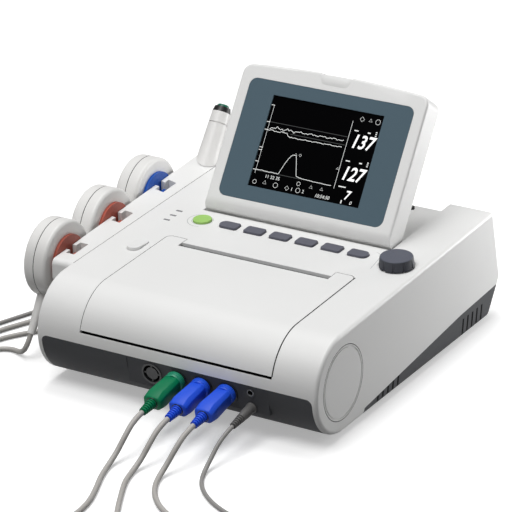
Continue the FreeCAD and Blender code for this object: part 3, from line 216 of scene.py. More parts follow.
soft_lamp("window", (-0.2, -1.1, 2.5), (0, 0, 0.08), 1.6, 38)
soft_lamp("ceiling", (-0.3, 0.5, 2.5), (0, 0, 0.08), 1.4, 26)
soft_lamp("side window", (0.48, 0.60, 0.13), (0.17, 0.12, 0.06), 0.3, 3.1)
bpy.context.scene.view_settings.view_transform = "Standard"
print("sky and", len(bpy.data.lights), "lamps ready")

# %% [markdown]
# Most of the monitor is injection-moulded ABS. A mould is spark-eroded, so the skin has a fine, even grain
# that breaks up the highlight, and a very faint drift of tone over a hand's width. One function makes every
# moulding from its light and dark tone, roughness, grain in millimetres, strength of the grain and
# refraction. The real grain is about 0.15 mm, and here it is drawn coarser to show.

# %% Moulded plastics
drift_m = 0.12
gloss_play = 0.06
grain_depth = 0.25


def moulded(name, light, dark, roughness, grain_mm, bump, ior=1.53):
    material, tree = blank(name)
    place = add(tree, "ShaderNodeTexCoord").outputs["Object"]
    grain = add(tree, "ShaderNodeTexNoise", {"Vector": place, "Scale": 1000 / grain_mm, "Detail": 2.0})
    drift = add(tree, "ShaderNodeTexNoise", {"Vector": place, "Scale": 1 / drift_m, "Detail": 3.0})
    tone = add(tree, "ShaderNodeMix", {0: drift.outputs["Fac"], 6: linear(dark), 7: linear(light)},
               data_type="RGBA")
    gloss = add(tree, "ShaderNodeMapRange", {"Value": grain.outputs["Fac"], "To Min": roughness - gloss_play,
                                             "To Max": roughness + gloss_play})
    skin = add(tree, "ShaderNodeBump", {"Height": grain.outputs["Fac"], "Strength": bump,
                                        "Distance": grain_mm * grain_depth / 1000})
    surface = add(tree, "ShaderNodeBsdfPrincipled", {
        "Base Color": tone.outputs[2], "Roughness": gloss.outputs[0], "Normal": skin.outputs[0], "IOR": ior})
    add(tree, "ShaderNodeOutputMaterial", {"Surface": surface.outputs[0]})
    return material


white_abs = moulded("white moulded ABS", "#EAEAE9", "#E4E4E3", 0.42, 0.8, 0.25)
sensor_abs = moulded("white moulded ABS of the sensors", "#E9E8E6", "#E3E2E0", 0.38, 0.9, 0.18)
dark_abs = moulded("dark grey textured ABS", "#4A4B4E", "#434447", 0.60, 0.9, 0.5, 1.30)
socket_nylon = moulded("black moulded nylon", "#232426", "#1D1E20", 0.48, 0.8, 0.3)
slate_key = moulded("slate moulded key caps", "#62636E", "#5B5C66", 0.55, 0.7, 0.3, 1.30)
slate_knob = moulded("slate soft-touch knob", "#5B5E6A", "#545762", 0.58, 0.7, 0.4, 1.35)
# Painted shade: the knob's side is darker than its top because the light falls from above.
knob_side_shade = moulded("slate knob side in painted shade", "#46484F", "#404249", 0.58, 0.7, 0.4, 1.35)
green_key = moulded("green silicone key", "#A3CF70", "#99C666", 0.50, 0.7, 0.2, 1.43)
bezel_film = moulded("slate printed film", "#536671", "#50636E", 0.55, 0.6, 0.15, 1.20)
lens_grey = moulded("smoked lens", "#8C8D90", "#838487", 0.25, 1.2, 0.05)
black_rubber = moulded("black moulded rubber", "#1E1E1F", "#19191A", 0.70, 1.0, 0.4, 1.52)
collar_black = moulded("black moulded collar", "#161617", "#111112", 0.40, 0.8, 0.2)
marker_green = moulded("dark green moulded button", "#0B6A52", "#095F49", 0.32, 0.8, 0.1)
plug_green = moulded("green over-moulded PVC", "#027A50", "#017048", 0.40, 0.8, 0.15, 1.30)
plug_blue = moulded("blue over-moulded PVC", "#2458E2", "#1F4FD4", 0.40, 0.8, 0.15, 1.35)
plug_grey = moulded("grey over-moulded PVC", "#686766", "#5F5E5D", 0.45, 0.8, 0.2, 1.40)
brick_disc = moulded("brick red moulded disc", "#A8503E", "#9B4737", 0.48, 2.0, 0.5)
red_disc = moulded("warm red moulded disc", "#B85643", "#A94B3A", 0.48, 2.0, 0.5)
blue_disc = moulded("blue moulded disc", "#1254B6", "#0E4AA4", 0.45, 2.0, 0.5, 1.35)
acetal = moulded("white acetal gears", "#E6E3DA", "#DEDBD1", 0.40, 0.8, 0.1, 1.48)
battery_sleeve = moulded("blue battery sleeve", "#2F5C9E", "#295290", 0.40, 1.5, 0.1)
strap_black = moulded("black woven strap", "#242426", "#19191B", 0.80, 1.0, 0.8)
print("moulded finishes ready")

# %% [markdown]
# The metal pieces are turned or folded and mostly hidden. Turned steel has fine rings that stretch the
# highlight, so its roughness changes along a wave, which Blender runs at 20 times the scale it is given. The
# recorder's paper is matt with a trace of fibre, the circuit board is green laminate under lacquer, and the
# screen is a black panel behind anti-glare glass.

# %% Metal, paper, board and screen glass
ring_play = 0.08
wave_rate = 20


def plain_metal(name, colour, roughness, ring_mm):
    material, tree = blank(name)
    place = add(tree, "ShaderNodeTexCoord").outputs["Object"]
    rings = add(tree, "ShaderNodeTexWave", {"Vector": place, "Scale": 1000 / ring_mm / wave_rate,
                                            "Distortion": 2.0})
    gloss = add(tree, "ShaderNodeMapRange", {"Value": rings.outputs["Fac"], "To Min": roughness - ring_play,
                                             "To Max": roughness + ring_play})
    surface = add(tree, "ShaderNodeBsdfPrincipled", {"Base Color": linear(colour), "Metallic": 1.0,
                                                     "Roughness": gloss.outputs[0]})
    add(tree, "ShaderNodeOutputMaterial", {"Surface": surface.outputs[0]})
    return material


turned_steel = plain_metal("turned steel", "#C4C4C6", 0.32, 0.3)
folded_sheet = plain_metal("folded aluminium sheet", "#C9CACC", 0.42, 1.2)
# Partly painted shade: this darker grey makes the paper slot over the print head read dark; the jack rim has
# it too.
dark_sheet_and_slot_shade = plain_metal("dark sheet and painted slot shade", "#6E6F72", 0.50, 1.2)
chart_paper = moulded("folded thermal paper", "#F3F0EA", "#EDEAE3", 0.85, 0.5, 0.3, 1.45)
laminate = moulded("green laminate board", "#14613A", "#0F5431", 0.30, 2.5, 0.1)
screen_glass = moulded("black anti-glare screen", "#040405", "#020203", 0.35, 0.4, 0.03, 1.08)
print(len(bpy.data.materials), "finishes ready")

# %% [markdown]
# Each CAD solid keeps its shape and gets its finish here. The frame's meshes are loose triangles, so a
# small Geometry Nodes tree joins their corners and turns smooth all but the sharp edges, and a
# weighted-normal modifier keeps the large flats flat beside their rounded edges.

# %% Finishes on the CAD solids
crease_degrees = 32.0
merge_m = 0.00001

soften = bpy.data.node_groups.new("join and smooth", "GeometryNodeTree")
soften.interface.new_socket("Geometry", in_out="INPUT", socket_type="NodeSocketGeometry")
soften.interface.new_socket("Geometry", in_out="OUTPUT", socket_type="NodeSocketGeometry")
entry = add(soften, "NodeGroupInput")
welded = add(soften, "GeometryNodeMergeByDistance", {"Geometry": entry.outputs[0], "Distance": merge_m})
smooth = add(soften, "GeometryNodeSetShadeSmooth", {"Geometry": welded.outputs[0], "Shade Smooth": True},
             domain="FACE")
angle = add(soften, "GeometryNodeInputMeshEdgeAngle")
sharp = add(soften, "FunctionNodeCompare", {0: angle.outputs[0], 1: math.radians(crease_degrees)},
            operation="GREATER_THAN")
creased = add(soften, "GeometryNodeSetShadeSmooth", {
    "Geometry": smooth.outputs[0], "Selection": sharp.outputs[0], "Shade Smooth": False}, domain="EDGE")
add(soften, "NodeGroupOutput", {0: creased.outputs[0]})


def smoothed(piece):
    joiner = piece.modifiers.new("join and smooth", "NODES")
    joiner.node_group = soften


def finish(names, material):
    for name in names:
        piece = nodes[name]
        piece.data.materials.clear()
        piece.data.materials.append(material)
        smoothed(piece)
        evener = piece.modifiers.new("flat faces stay flat", "WEIGHTED_NORMAL")
        evener.keep_sharp = True


finish(["top_cover", "side_cap", "paper_door", "door_latch", "display_front_frame", "display_rear_cover",
        "transducer_holder"], white_abs)
finish(["event_marker"] + ["transducer_%d_case" % k for k in (1, 2, 3)], sensor_abs)
finish(["base_tray", "connector_panel"], dark_abs)
finish(["front_sockets", "mains_inlet", "power_rocker"], socket_nylon)
finish(["grey_key_%d" % k for k in range(1, 7)], slate_key)
finish(["control_knob"], slate_knob)
finish(["start_key"], green_key)
finish(["display_bezel"], bezel_film)
finish(["screen_panel"], screen_glass)
finish(["indicator_lenses"], lens_grey)
finish(["hinge_pins", "cover_screws", "knob_spindle", "paper_motor"], turned_steel)
finish(["power_supply", "knob_encoder"], folded_sheet)
# The print head is partly its own grey and partly painted shade in the paper slot above it.
finish(["print_head"], dark_sheet_and_slot_shade)
finish(["rubber_feet", "display_bumpers", "platen_roller"], black_rubber)
finish(["platen_gear", "drive_pinion"], acetal)
finish(["main_board"], laminate)
finish(["battery_pack"], battery_sleeve)
finish(["paper_pack"], chart_paper)
finish(["transducer_1_button"], brick_disc)
finish(["transducer_2_button"], red_disc)
finish(["transducer_3_button"], blue_disc)
finish(["marker_collar"], collar_black)
finish(["marker_button"], marker_green)
print("finishes laid on the CAD solids")

# %% [markdown]
# Two solids carry two finishes each. The pins of the mains inlet are bare metal in a black moulding, and
# the knob's side is painted darker than its top, as painted shade from the light above. The faces are
# picked by their place or by their slope.

# %% Inlet pins and painted shade on the knob's side
inlet = nodes["mains_inlet"]
inlet_floor = at(90.0, 335.3, 62.4)
inlet_out = Vector((0, 0.976, 0.217))
pin_side_m = 0.009
pin_rise_m = 0.0055
pin_start_m = 0.001
side_slope = 0.5


def second_finish(piece, material, picked):
    piece.data.materials.append(material)
    faces = [face for face in piece.data.polygons if picked(face)]
    for face in faces:
        face.material_index = 1
    print(len(faces), "faces of", piece.name, "in", material.name)


def on_pin(face):
    step = inlet.matrix_world @ face.center - inlet_floor
    beside = abs(step.x) < pin_side_m and -pin_side_m < step.z < pin_rise_m
    return beside and step.dot(inlet_out) > pin_start_m


second_finish(inlet, turned_steel, on_pin)
second_finish(nodes["control_knob"], knob_side_shade, lambda face: abs(face.normal.z) < side_slope)

# %% [markdown]
# The pieces below are drawn here, beside the CAD solids. One function hangs a mesh on the body that carries
# it, one skins a row of equal rings, one turns a profile round an axis like a lathe, one lays a flat line
# on a face, one gathers shapes into one mesh, and one makes a plain mesh of what curves and modifiers give.

# %% Our own meshes
turn_steps = 48


def hang(name, shape, material, body):
    data = bpy.data.meshes.new(name)
    data.from_pydata(shape[0], [], shape[1])
    data.materials.append(material)
    piece = placed(name, data)
    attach(piece, body)
    return piece


def real_mesh(piece):
    return bpy.data.meshes.new_from_object(piece.evaluated_get(bpy.context.evaluated_depsgraph_get()))


def skinned(rings):
    count = len(rings[0])
    faces = [tuple(reversed(range(count)))]
    for row in range(len(rings) - 1):
        for k in range(count):
            first = row * count + k
            second = row * count + (k + 1) % count
            faces.append((first, second, second + count, first + count))
    faces.append(tuple(range(count * (len(rings) - 1), count * len(rings))))
    return [point for ring in rings for point in ring], faces


def turned(profile, place):
    turns = [2 * math.pi * k / turn_steps for k in range(turn_steps)]
    return skinned([[place(r * math.cos(a), r * math.sin(a), w) for a in turns] for r, w in profile])


def flat_line(corners, width, place, closed=False):
    points = []
    count = len(corners)
    for k, corner in enumerate(corners):
        before = corners[k - 1] if closed or k > 0 else corner
        after = corners[(k + 1) % count] if closed or k < count - 1 else corner
        ahead = (Vector(after) - Vector(before)).normalized() * (width / 2)
        points.append(place(corner[0] + ahead.y, corner[1] - ahead.x))
        points.append(place(corner[0] - ahead.y, corner[1] + ahead.x))
    spans = count if closed else count - 1
    size = 2 * count
    return points, [(2 * k, (2 * k + 2) % size, (2 * k + 3) % size, 2 * k + 1) for k in range(spans)]


def gathered(shapes):
    points = []
    faces = []
    for more, sides in shapes:
        faces += [tuple(len(points) + corner for corner in side) for side in sides]
        points += more
    return points, faces


print("lathe shapes have", turn_steps, "steps")

# %% [markdown]
# What repeats round an axis comes from one Geometry Nodes tree: a circle of points, a bar on each of them
# turned to face outwards, all made real and given their finish. It makes the grip on the plugs, the keyed
# ring of the empty socket and the crosses in the screws. A helper object carries the tree only until its
# mesh is made.

# %% Bars round a ring
bar_ring = bpy.data.node_groups.new("bars round a ring", "GeometryNodeTree")
for label, kind in (("Geometry", "Geometry"), ("Count", "Int"), ("Radius", "Float"), ("Bar", "Vector"),
                    ("Material", "Material")):
    bar_ring.interface.new_socket(label, in_out="INPUT", socket_type="NodeSocket" + kind)
bar_ring.interface.new_socket("Geometry", in_out="OUTPUT", socket_type="NodeSocketGeometry")
entry = add(bar_ring, "NodeGroupInput")
circle = add(bar_ring, "GeometryNodeMeshCircle", {
    "Vertices": entry.outputs["Count"], "Radius": entry.outputs["Radius"]})
block = add(bar_ring, "GeometryNodeMeshCube", {"Size": entry.outputs["Bar"]})
share = add(bar_ring, "ShaderNodeMath", {0: 2 * math.pi, 1: entry.outputs["Count"]}, operation="DIVIDE")
index = add(bar_ring, "GeometryNodeInputIndex")
facing = add(bar_ring, "ShaderNodeMath", {0: index.outputs[0], 1: share.outputs[0]}, operation="MULTIPLY")
facing = add(bar_ring, "ShaderNodeCombineXYZ", {"Z": facing.outputs[0]})
bars = add(bar_ring, "GeometryNodeInstanceOnPoints", {
    "Points": circle.outputs[0], "Instance": block.outputs[0], "Rotation": facing.outputs[0]})
bars = add(bar_ring, "GeometryNodeRealizeInstances", {"Geometry": bars.outputs[0]})
bars = add(bar_ring, "GeometryNodeSetMaterial", {
    "Geometry": bars.outputs[0], "Material": entry.outputs["Material"]})
add(bar_ring, "NodeGroupOutput", {0: bars.outputs[0]})


def grown(name, tree, inputs, place, body):
    helper = placed("helper", bpy.data.meshes.new("helper"))
    grower = helper.modifiers.new(name, "NODES")
    grower.node_group = tree
    for socket in tree.interface.items_tree:
        if socket.in_out == "INPUT" and socket.name in inputs:
            grower[socket.identifier] = inputs[socket.name]
    made = real_mesh(helper)
    bpy.data.objects.remove(helper)
    made.transform(place)
    piece = hang(name, ([], []), inputs["Material"], body)
    piece.data = made
    return piece


print(len(bar_ring.nodes), "nodes make a ring of bars")

# %% [markdown]
# The screen is a lit panel behind the bezel. Places on it are shares of its width and height from the upper
# left corner, and everything on it is a thin lit shape.

# %% Places on the screen
screen_half = 60.0
screen_low = 17.1
screen_high = 107.4
screen_out = 12.46
screen_width = 2 * screen_half
screen_height = screen_high - screen_low


def on_screen(x, y):
    return on_display(x - screen_half, screen_high - y, screen_out)


def screen_line(shares, width, closed=False):
    corners = [(across * screen_width, down * screen_height) for across, down in shares]
    return flat_line(corners, width, on_screen, closed)


def lit(name, code, strength):
    material, tree = blank(name)
    glow = add(tree, "ShaderNodeEmission", {"Color": linear(code), "Strength": strength})
    add(tree, "ShaderNodeOutputMaterial", {"Surface": glow.outputs[0]})
    return material


lit_white = lit("lit screen line", "#F4F6F4", 1.0)
lit_bright = lit("lit screen numeral", "#FFFFFF", 1.15)
lit_dim = lit("dim screen line", "#5A5C5C", 0.8)
print("three lit finishes ready")

# %% [markdown]
# Such a monitor shows two unsteady heart-rate lines, a slow curve with one peak, and scales. The
# unsteadiness of a line is a sum of a few waves, so it looks irregular and is the same each time.

# %% Curves on the screen
scale_width = 0.32
column_width = 0.38
trace_width = 0.50
tick_width = 0.6
dim_width = 0.45
ripples = ((41, 1, 1.0), (97, 2, 0.8), (173, 1, 0.6))
lively_until = 0.35
calm_share = 0.55


def ramp(t, start, length):
    return min(1, max(0, (t - start) / length))


def unsteady(level, start, end, steps, size, phase):
    shares = []
    for k in range(steps + 1):
        t = k / steps
        wave = sum(height * math.sin(rate * t + shift * phase) for rate, shift, height in ripples)
        calm = 1.0 if t < lively_until else calm_share
        shares.append((start + (end - start) * t, level(t) + size * calm * wave))
    return screen_line(shares, trace_width)


def first_level(t):
    return 0.345 - 0.012 * t


def second_level(t):
    return 0.376 + 0.036 * ramp(t, 0.27, 0.05) - 0.006 * ramp(t, 0.38, 0.5)


def peak_level(t):
    rise = ramp(t, 0.305, 0.135)
    fall = ramp(t, 0.465, 0.07)
    slide = 1 - math.exp(-max(0, t - 0.48) * 14)
    return 0.8125 + 0.012 * t - 0.232 * (math.sin(rise * math.pi / 2) - 0.85 * fall) + 0.035 * slide * fall


lines = [
    screen_line([(0.026, 0.105), (0.026, 0.855)], scale_width),
    screen_line([(0.741, 0.11), (0.741, 0.845)], column_width),
    unsteady(first_level, 0.042, 0.709, 110, 0.0085, 0.6),
    unsteady(second_level, 0.02, 0.708, 90, 0.0045, 2.1),
    unsteady(peak_level, 0.02, 0.711, 110, 0.0018, 1.3),
]
for tick in (0.105, 0.29, 0.375, 0.57, 0.60, 0.725, 0.815):
    lines.append(screen_line([(-0.004, tick), (0.03, tick)], tick_width))
dim_spans = ((0.034, 0.733, 0.287), (0.238, 0.73, 0.377), (0.034, 0.45, 0.822))
dim = [screen_line([(start, down), (end, down)], dim_width) for start, end, down in dim_spans]
print(len(lines), "lines and", len(dim), "dim lines on the screen")

# %% [markdown]
# Round the curves stand small marks and short dashes. They are drawn as plain shapes with the same flat line
# as the curves.

# %% Marks on the screen
mark_width = 0.34
marks = (
    (0.335, 0.578, 1.4, 3), (0.375, 0.577, 1.3, 4), (0.725, 0.635, 1.5, 3), (0.815, 0.075, 2.4, 4),
    (0.89, 0.075, 1.9, 3), (0.955, 0.075, 2.5, 12), (0.045, 0.945, 2.0, 12), (0.135, 0.935, 2.2, 3),
    (0.235, 0.94, 2.4, 12), (0.34, 0.945, 2.2, 4), (0.44, 0.945, 2.3, 12), (0.43, 0.875, 1.9, 12),
    (0.545, 0.885, 1.8, 3), (0.64, 0.885, 1.8, 3))
dash_width = 1.0
bar_width = 1.2
stack_width = 0.9
dashes = [(0.775, 0.812, 0, dash_width), (0.895, 0.92, 0, bar_width)]
dashes += [(0.962, 0.975, step, stack_width) for step in (-0.02, 0, 0.02)]


def small_mark(across, down, size, sides):
    turns = [2 * math.pi * k / sides + math.pi / 2 for k in range(sides)]
    wide = size / screen_width
    tall = size / screen_height
    shares = [(across + wide * math.cos(a), down - tall * math.sin(a)) for a in turns]
    return screen_line(shares, mark_width, True)


lines += [small_mark(*mark) for mark in marks]
for row in (0.205, 0.535):
    for start, end, step, width in dashes:
        lines.append(screen_line([(start, row + step), (end, row + step)], width))
lines.append(screen_line([(0.775, 0.812), (0.84, 0.812)], dash_width))
lines.append(screen_line([(0.835, 0.985), (0.835, 0.95)], bar_width))
hang("screen_lines", gathered(lines), lit_white, "display")
hang("dim_screen_lines", gathered(dim), lit_dim, "display")
print(len(marks), "marks on the screen")

# %% [markdown]
# The readings are leaning numerals. Blender's own text gives their shapes, made bold by swelling the
# outlines, and the mesh of each is then laid on the screen. A row gives the text, its place, its height, how
# far it is squeezed, its lean and how much it swells.

# %% Numerals on the screen
glyph_height = 0.70
readings = [("137", 0.868, 0.313, 13.1, 0.84, 0.24, 0.34), ("127", 0.862, 0.662, 13.1, 0.84, 0.24, 0.34),
            ("7", 0.868, 0.888, 8.6, 0.84, 0.24, 0.24)]
small_numerals = [("10:54:50", 0.66, 0.957, 3.4, 0.95, 0.2, 0), ("11 22 35", 0.19, 0.865, 3.2, 1, 0, 0),
                  ("0", 0.915, 0.962, 3.4, 1, 0.2, 0), ("1", 0.385, 0.945, 3.2, 1, 0, 0),
                  ("2", 0.487, 0.945, 3.2, 1, 0, 0)]


def numerals(text, across, down, height, squeeze, lean, weight):
    words = bpy.data.curves.new("numerals", "FONT")
    words.body = text
    words.align_x = "CENTER"
    words.size = height / glyph_height
    words.shear = lean
    words.offset = weight
    words.resolution_u = 3
    holder = placed("numerals", words)
    made = real_mesh(holder)
    bpy.data.objects.remove(holder)
    middle_x = across * screen_width
    base_y = down * screen_height + height / 2
    points = [on_screen(middle_x + v.co.x * squeeze, base_y - v.co.y) for v in made.vertices]
    return points, [tuple(face.vertices) for face in made.polygons]


big_shapes = gathered([numerals(*row) for row in readings])
small_shapes = gathered([numerals(*row) for row in small_numerals])
hang("screen_readings", big_shapes, lit_bright, "display")
hang("screen_small_numerals", small_shapes, lit_white, "display")
print(len(readings), "readings and", len(small_numerals), "small numerals on the screen")

# %% [markdown]
# The sockets sit in a panel that leans back a little. One function gives the place of a point near a
# socket, to the right, up and out of the panel, and one gives the same as a matrix.

# %% Places on the connector panel
panel_top = 53.5
panel_back = 3.6
panel_height = 26.5
panel_lean = math.atan2(panel_back, panel_height)
socket_x = 2.5
socket_pitch = 26.5
socket_z = 41.0
jack_x = 79.5
jack_upper = 46.6
jack_lower = 31.4


def on_panel(x, z):
    foot = Vector((x, (panel_top - z) * math.tan(panel_lean), z))
    up = Vector((0, -math.sin(panel_lean), math.cos(panel_lean)))
    out = Vector((0, -math.cos(panel_lean), -math.sin(panel_lean)))
    return lambda u, v, w: at(*(foot + Vector((u, 0, 0)) + up * v + out * w))


def panel_matrix(x, z, out):
    place = on_panel(x, z)
    centre = place(0, 0, out)
    sides = [place(1, 0, out) - centre, place(0, 1, out) - centre, place(0, 0, out + 1) - centre]
    return Matrix.Translation(centre) @ Matrix(sides).transposed().to_4x4()


print("panel leans back by", round(math.degrees(panel_lean), 1), "degrees")

# %% [markdown]
# The three sensor plugs are over-moulded: a round grip, an eight-sided body that narrows to its end, a dark
# relief and a ribbed boot that keeps the lead from kinking. Profiles are pairs of a radius and a distance
# from the panel, and the body's stations give a distance, half a width, half a height and the cut at the
# corners.

# %% Shapes of a plug
grip_start = 1.0
grip_end = 7.0
grip_radius = 9.2
grip_profile = [(8.9, grip_start), (grip_radius, 1.6), (grip_radius, 5.8), (8.2, 7.2)]
grip_count = 32
grip_bar = (0.6, 0.9, 4.0)
body_end = 42.0
body_edge = 0.6
body_stations = [(grip_end, 8.0, 7.1, 2.8), (9.0, 8.5, 7.6, 2.8), (32.5, 9.5, 8.5, 3.4),
                 (40.5, 9.2, 6.6, 3.0), (body_end, 8.2, 6.0, 2.4)]
relief_profile = [(6.0, body_end - 1), (5.7, body_end + 0.3)]
boot_end = 58.0
boot_root = 4.9
boot_tip = 3.5
boot_rings = 6
rib_share = 0.6
groove_depth = 1.0


def eight_sided(place, w, wide, tall, cut):
    corners = [(wide, cut - tall), (wide, tall - cut), (wide - cut, tall), (cut - wide, tall),
               (-wide, tall - cut), (-wide, cut - tall), (cut - wide, -tall), (wide - cut, -tall)]
    return [place(u, v, w) for u, v in corners]


def ribbed(start, end, root, tip):
    profile = []
    step = (end - start) / boot_rings
    for ring in range(boot_rings):
        radius = root + (tip - root) * ring / boot_rings
        low = start + ring * step
        rib = low + step * rib_share
        root_radius = radius - groove_depth
        profile += [(radius, low), (radius, rib), (root_radius, rib), (root_radius, low + step)]
    return profile + [(tip - groove_depth / 2, end)]


def rounded(piece, width):
    bevel = piece.modifiers.new("moulded edges", "BEVEL")
    bevel.width = width / 1000
    bevel.segments = 3
    bevel.harden_normals = True


print("a plug stands out", boot_end, "mm")

# %% [markdown]
# One plug is green and two are blue, with a lighter grip. The event marker's plug is small and grey, all in
# one turned shape with a ribbed end.

# %% Plugs
collar_teal = moulded("light green grip", "#2A9C78", "#228F6D", 0.40, 0.8, 0.2)
collar_blue = moulded("light blue grip", "#2B62E8", "#2559DC", 0.40, 0.8, 0.2, 1.35)
plug_looks = [(plug_green, collar_teal, "plug_green")] + [(plug_blue, collar_blue, "plug_blue")] * 2
small_ribs = 18.0
small_end = 33.6
small_root = 4.0
small_tip = 2.9
small_profile = [(5.3, 0.6), (5.3, 2.2), (4.8, 2.8), (4.6, 12.0), (small_root, small_ribs)]

for k, (colour, grip_colour, slot) in enumerate(plug_looks):
    name = "plug_%d_" % (k + 1)
    x = socket_x + k * socket_pitch
    place = on_panel(x, socket_z)
    rings = [eight_sided(place, *station) for station in body_stations]
    body = hang(name + "body", skinned(rings), colour, "housing")
    rounded(body, body_edge)
    grip = hang(name + "grip", turned(grip_profile, place), grip_colour, "housing")
    bars = {"Count": grip_count, "Radius": grip_radius, "Bar": grip_bar, "Material": grip_colour}
    middle = panel_matrix(x, socket_z, (grip_start + grip_end) / 2)
    bars = grown(name + "grip_bars", bar_ring, bars, middle, "housing")
    relief = hang(name + "relief", turned(relief_profile, place), collar_black, "housing")
    boot = turned(ribbed(body_end, boot_end, boot_root, boot_tip), place)
    boot = hang(name + "boot", boot, colour, "housing")
    for piece in (body, grip, relief, boot):
        smoothed(piece)
    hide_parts("round_plug_%d" % (k + 1))

small_profile += ribbed(small_ribs, small_end, small_root, small_tip)
small_shape = turned(small_profile, on_panel(jack_x, jack_lower))
small_plug = hang("small_plug", small_shape, plug_grey, "housing")
smoothed(small_plug)
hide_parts("marker_plug")

# %% [markdown]
# A gap between mouldings looks black, because little light gets in and less comes out. That shade is painted
# as dark strips in the gap round the paper door: down both sides, behind the two tabs, under the front lip.
# The strip on the right also laps over the edge of the opening as painted shade, because the line is
# stronger there.

# %% Door gap
door_half = 100.5
door_gap = 0.6
door_play = 0.12
door_rear = 153.0
door_low = 66.4
tab_width = 20.0
front_z = 63.7
front_start = 2.2
front_end = 8.0
roll_centre = roll_radius
roll_steps = 36
strip_sink = 0.12
edge_rise = 0.08
edge_lap = 0.6
edge_end = 0.97

# This black finish is painted shade, laid in gaps, joints and slots where shade falls.
painted_shade = moulded("black painted shade", "#101011", "#0B0B0C", 0.9, 0.8, 0.4, 1.2)


def door_edge(share, sink):
    drop = roll_radius - sink
    lowest = math.acos((door_low - roll_height) / drop)
    if share < 0:
        turn = -share * lowest
        return roll_centre - drop * math.sin(turn), roll_height + drop * math.cos(turn)
    y = roll_centre + share * (door_rear + door_gap - roll_centre)
    top = roll_height + roll_radius / math.cos(top_slope) + (y - roll_radius) * math.tan(top_slope)
    return y, top - sink


def side_strip(side, sink, lap, rear):
    shares = [k / roll_steps - 1 for k in range(roll_steps)] + [0, rear]
    edges = sorted((side * (door_half + door_play), side * (door_half + door_gap + lap)))
    points = [at(x, y, z) for y, z in (door_edge(share, sink) for share in shares) for x in edges]
    return points, [(2 * k, 2 * k + 1, 2 * k + 3, 2 * k + 2) for k in range(len(shares) - 1)]


def tab_strip(side):
    y, z = door_edge(1, strip_sink)
    inner = side * (door_half - tab_width)
    outer = side * (door_half + door_gap)
    start = y - door_gap + door_play
    corners = [at(inner, start, z), at(outer, start, z), at(outer, y, z), at(inner, y, z)]
    return corners, [(0, 1, 2, 3) if side > 0 else (3, 2, 1, 0)]


front = [at(x, y, front_z) for y in (front_start, front_end) for x in (-door_half, door_half)]
strips = [side_strip(-1, strip_sink, 0, 1), tab_strip(-1), side_strip(1, -edge_rise, edge_lap, edge_end),
          tab_strip(1), (front, [(0, 1, 3, 2)])]
hang("door_gap_shade", gathered(strips), painted_shade, "housing")
print(len(strips), "foam strips in the door's gap")

# %% [markdown]
# The round cap is let into the end of the front roll, and the shade in the joint is painted as a thin dark
# ring. It is turned from two points and left open, because only its face shows.

# %% Cap ring
body_half = 147.0
cap_radius = 35.5
cap_play = 0.02
cap_shade_width = 0.95
cap_sink = 0.05


def on_cap(u, v, w):
    return at(body_half + w, roll_centre + u, roll_height + v)


points, faces = turned([(cap_radius - cap_play, -cap_sink), (cap_radius - cap_shade_width, -cap_sink)], on_cap)
hang("cap_joint_shade", (points, faces[1:-1]), painted_shade, "housing")
print("cap ring drawn, radius", cap_radius, "mm")

# %% [markdown]
# Four cross-head screws hold the base tray from below. The shade in the cross of a head is painted as four
# short dark bars round its middle, so the ring of bars makes it.

# %% Screw crosses
screw_places = [(x, y) for x in (-128.0, 128.0) for y in (92.0, 316.0)]
screw_face = 2.8
cross = {"Count": 4, "Radius": 1.0, "Bar": (1.6, 0.7, 0.1), "Material": painted_shade}
for k, (x, y) in enumerate(screw_places):
    place = Matrix.Translation(at(x, y, screw_face)) @ Matrix.Scale(0.001, 4)
    grown("screw_%d_cross" % (k + 1), bar_ring, cross, place, "housing")
print(len(screw_places), "screws have their cross")

# %% [markdown]
# The holder butts against the left side of the housing. This joint is straight, so one narrow dark face
# along the top paints the shade in it as a line.

# %% Holder seam
seam_half = 0.24
seam_x = -body_half + seam_half
seam_ends = (61.0, 318.0)

seam = [on_top(seam_x + side * seam_half, y, -strip_sink) for y in seam_ends for side in (-1, 1)]
hang("holder_seam_shade", (seam, [(0, 1, 3, 2)]), painted_shade, "housing")
print("holder seam drawn,", seam_ends[1] - seam_ends[0], "mm long")

# %% [markdown]
# The vents in the base tray are rows of leaning slots. The shade inside them is painted as a dark face
# just inside the skin, so that nobody looks through the slots into the housing. One flat face for each
# slot is enough.

# %% Vent slot shade
vent_rows = ((106.0, 20.0), (271.0, 23.0))
vent_count = 5
vent_width = 3.2
vent_pitch = 9.4
vent_lean = 0.16
vent_foot = 5.0
vent_low = 8.2
vent_sink = 0.15
vent_play = 0.05


def slot_shade_face(first, top, side):
    corners = []
    x = side * (body_half - vent_sink)
    for z in (vent_low, top):
        y = first + (z + vent_foot) * vent_lean
        corners += [at(x, y + vent_play, z), at(x, y + vent_width - vent_play, z)]
    return corners, [(0, 1, 3, 2) if side > 0 else (2, 3, 1, 0)]


slot_shade_faces = [slot_shade_face(first + k * vent_pitch, top, side)
           for first, top in vent_rows for k in range(vent_count) for side in (-1, 1)]
hang("vent_slot_shade", gathered(slot_shade_faces), painted_shade, "housing")
print(len(slot_shade_faces), "vent screens")

# %% [markdown]
# A transducer's case is two shells, glued watertight. The shade in the groove between them is painted
# as a thin dark ring round the rim. It is turned like the cap's ring, and each one moves with its transducer.

# %% Sensor groove shade
sensor_radius = 38.0
sensor_y = 89.5
sensor_pitch = 77.0
sensor_z = 87.5
sensor_step = 4.5
groove_x = -186.3
groove_width = 0.8
groove_play = 0.05

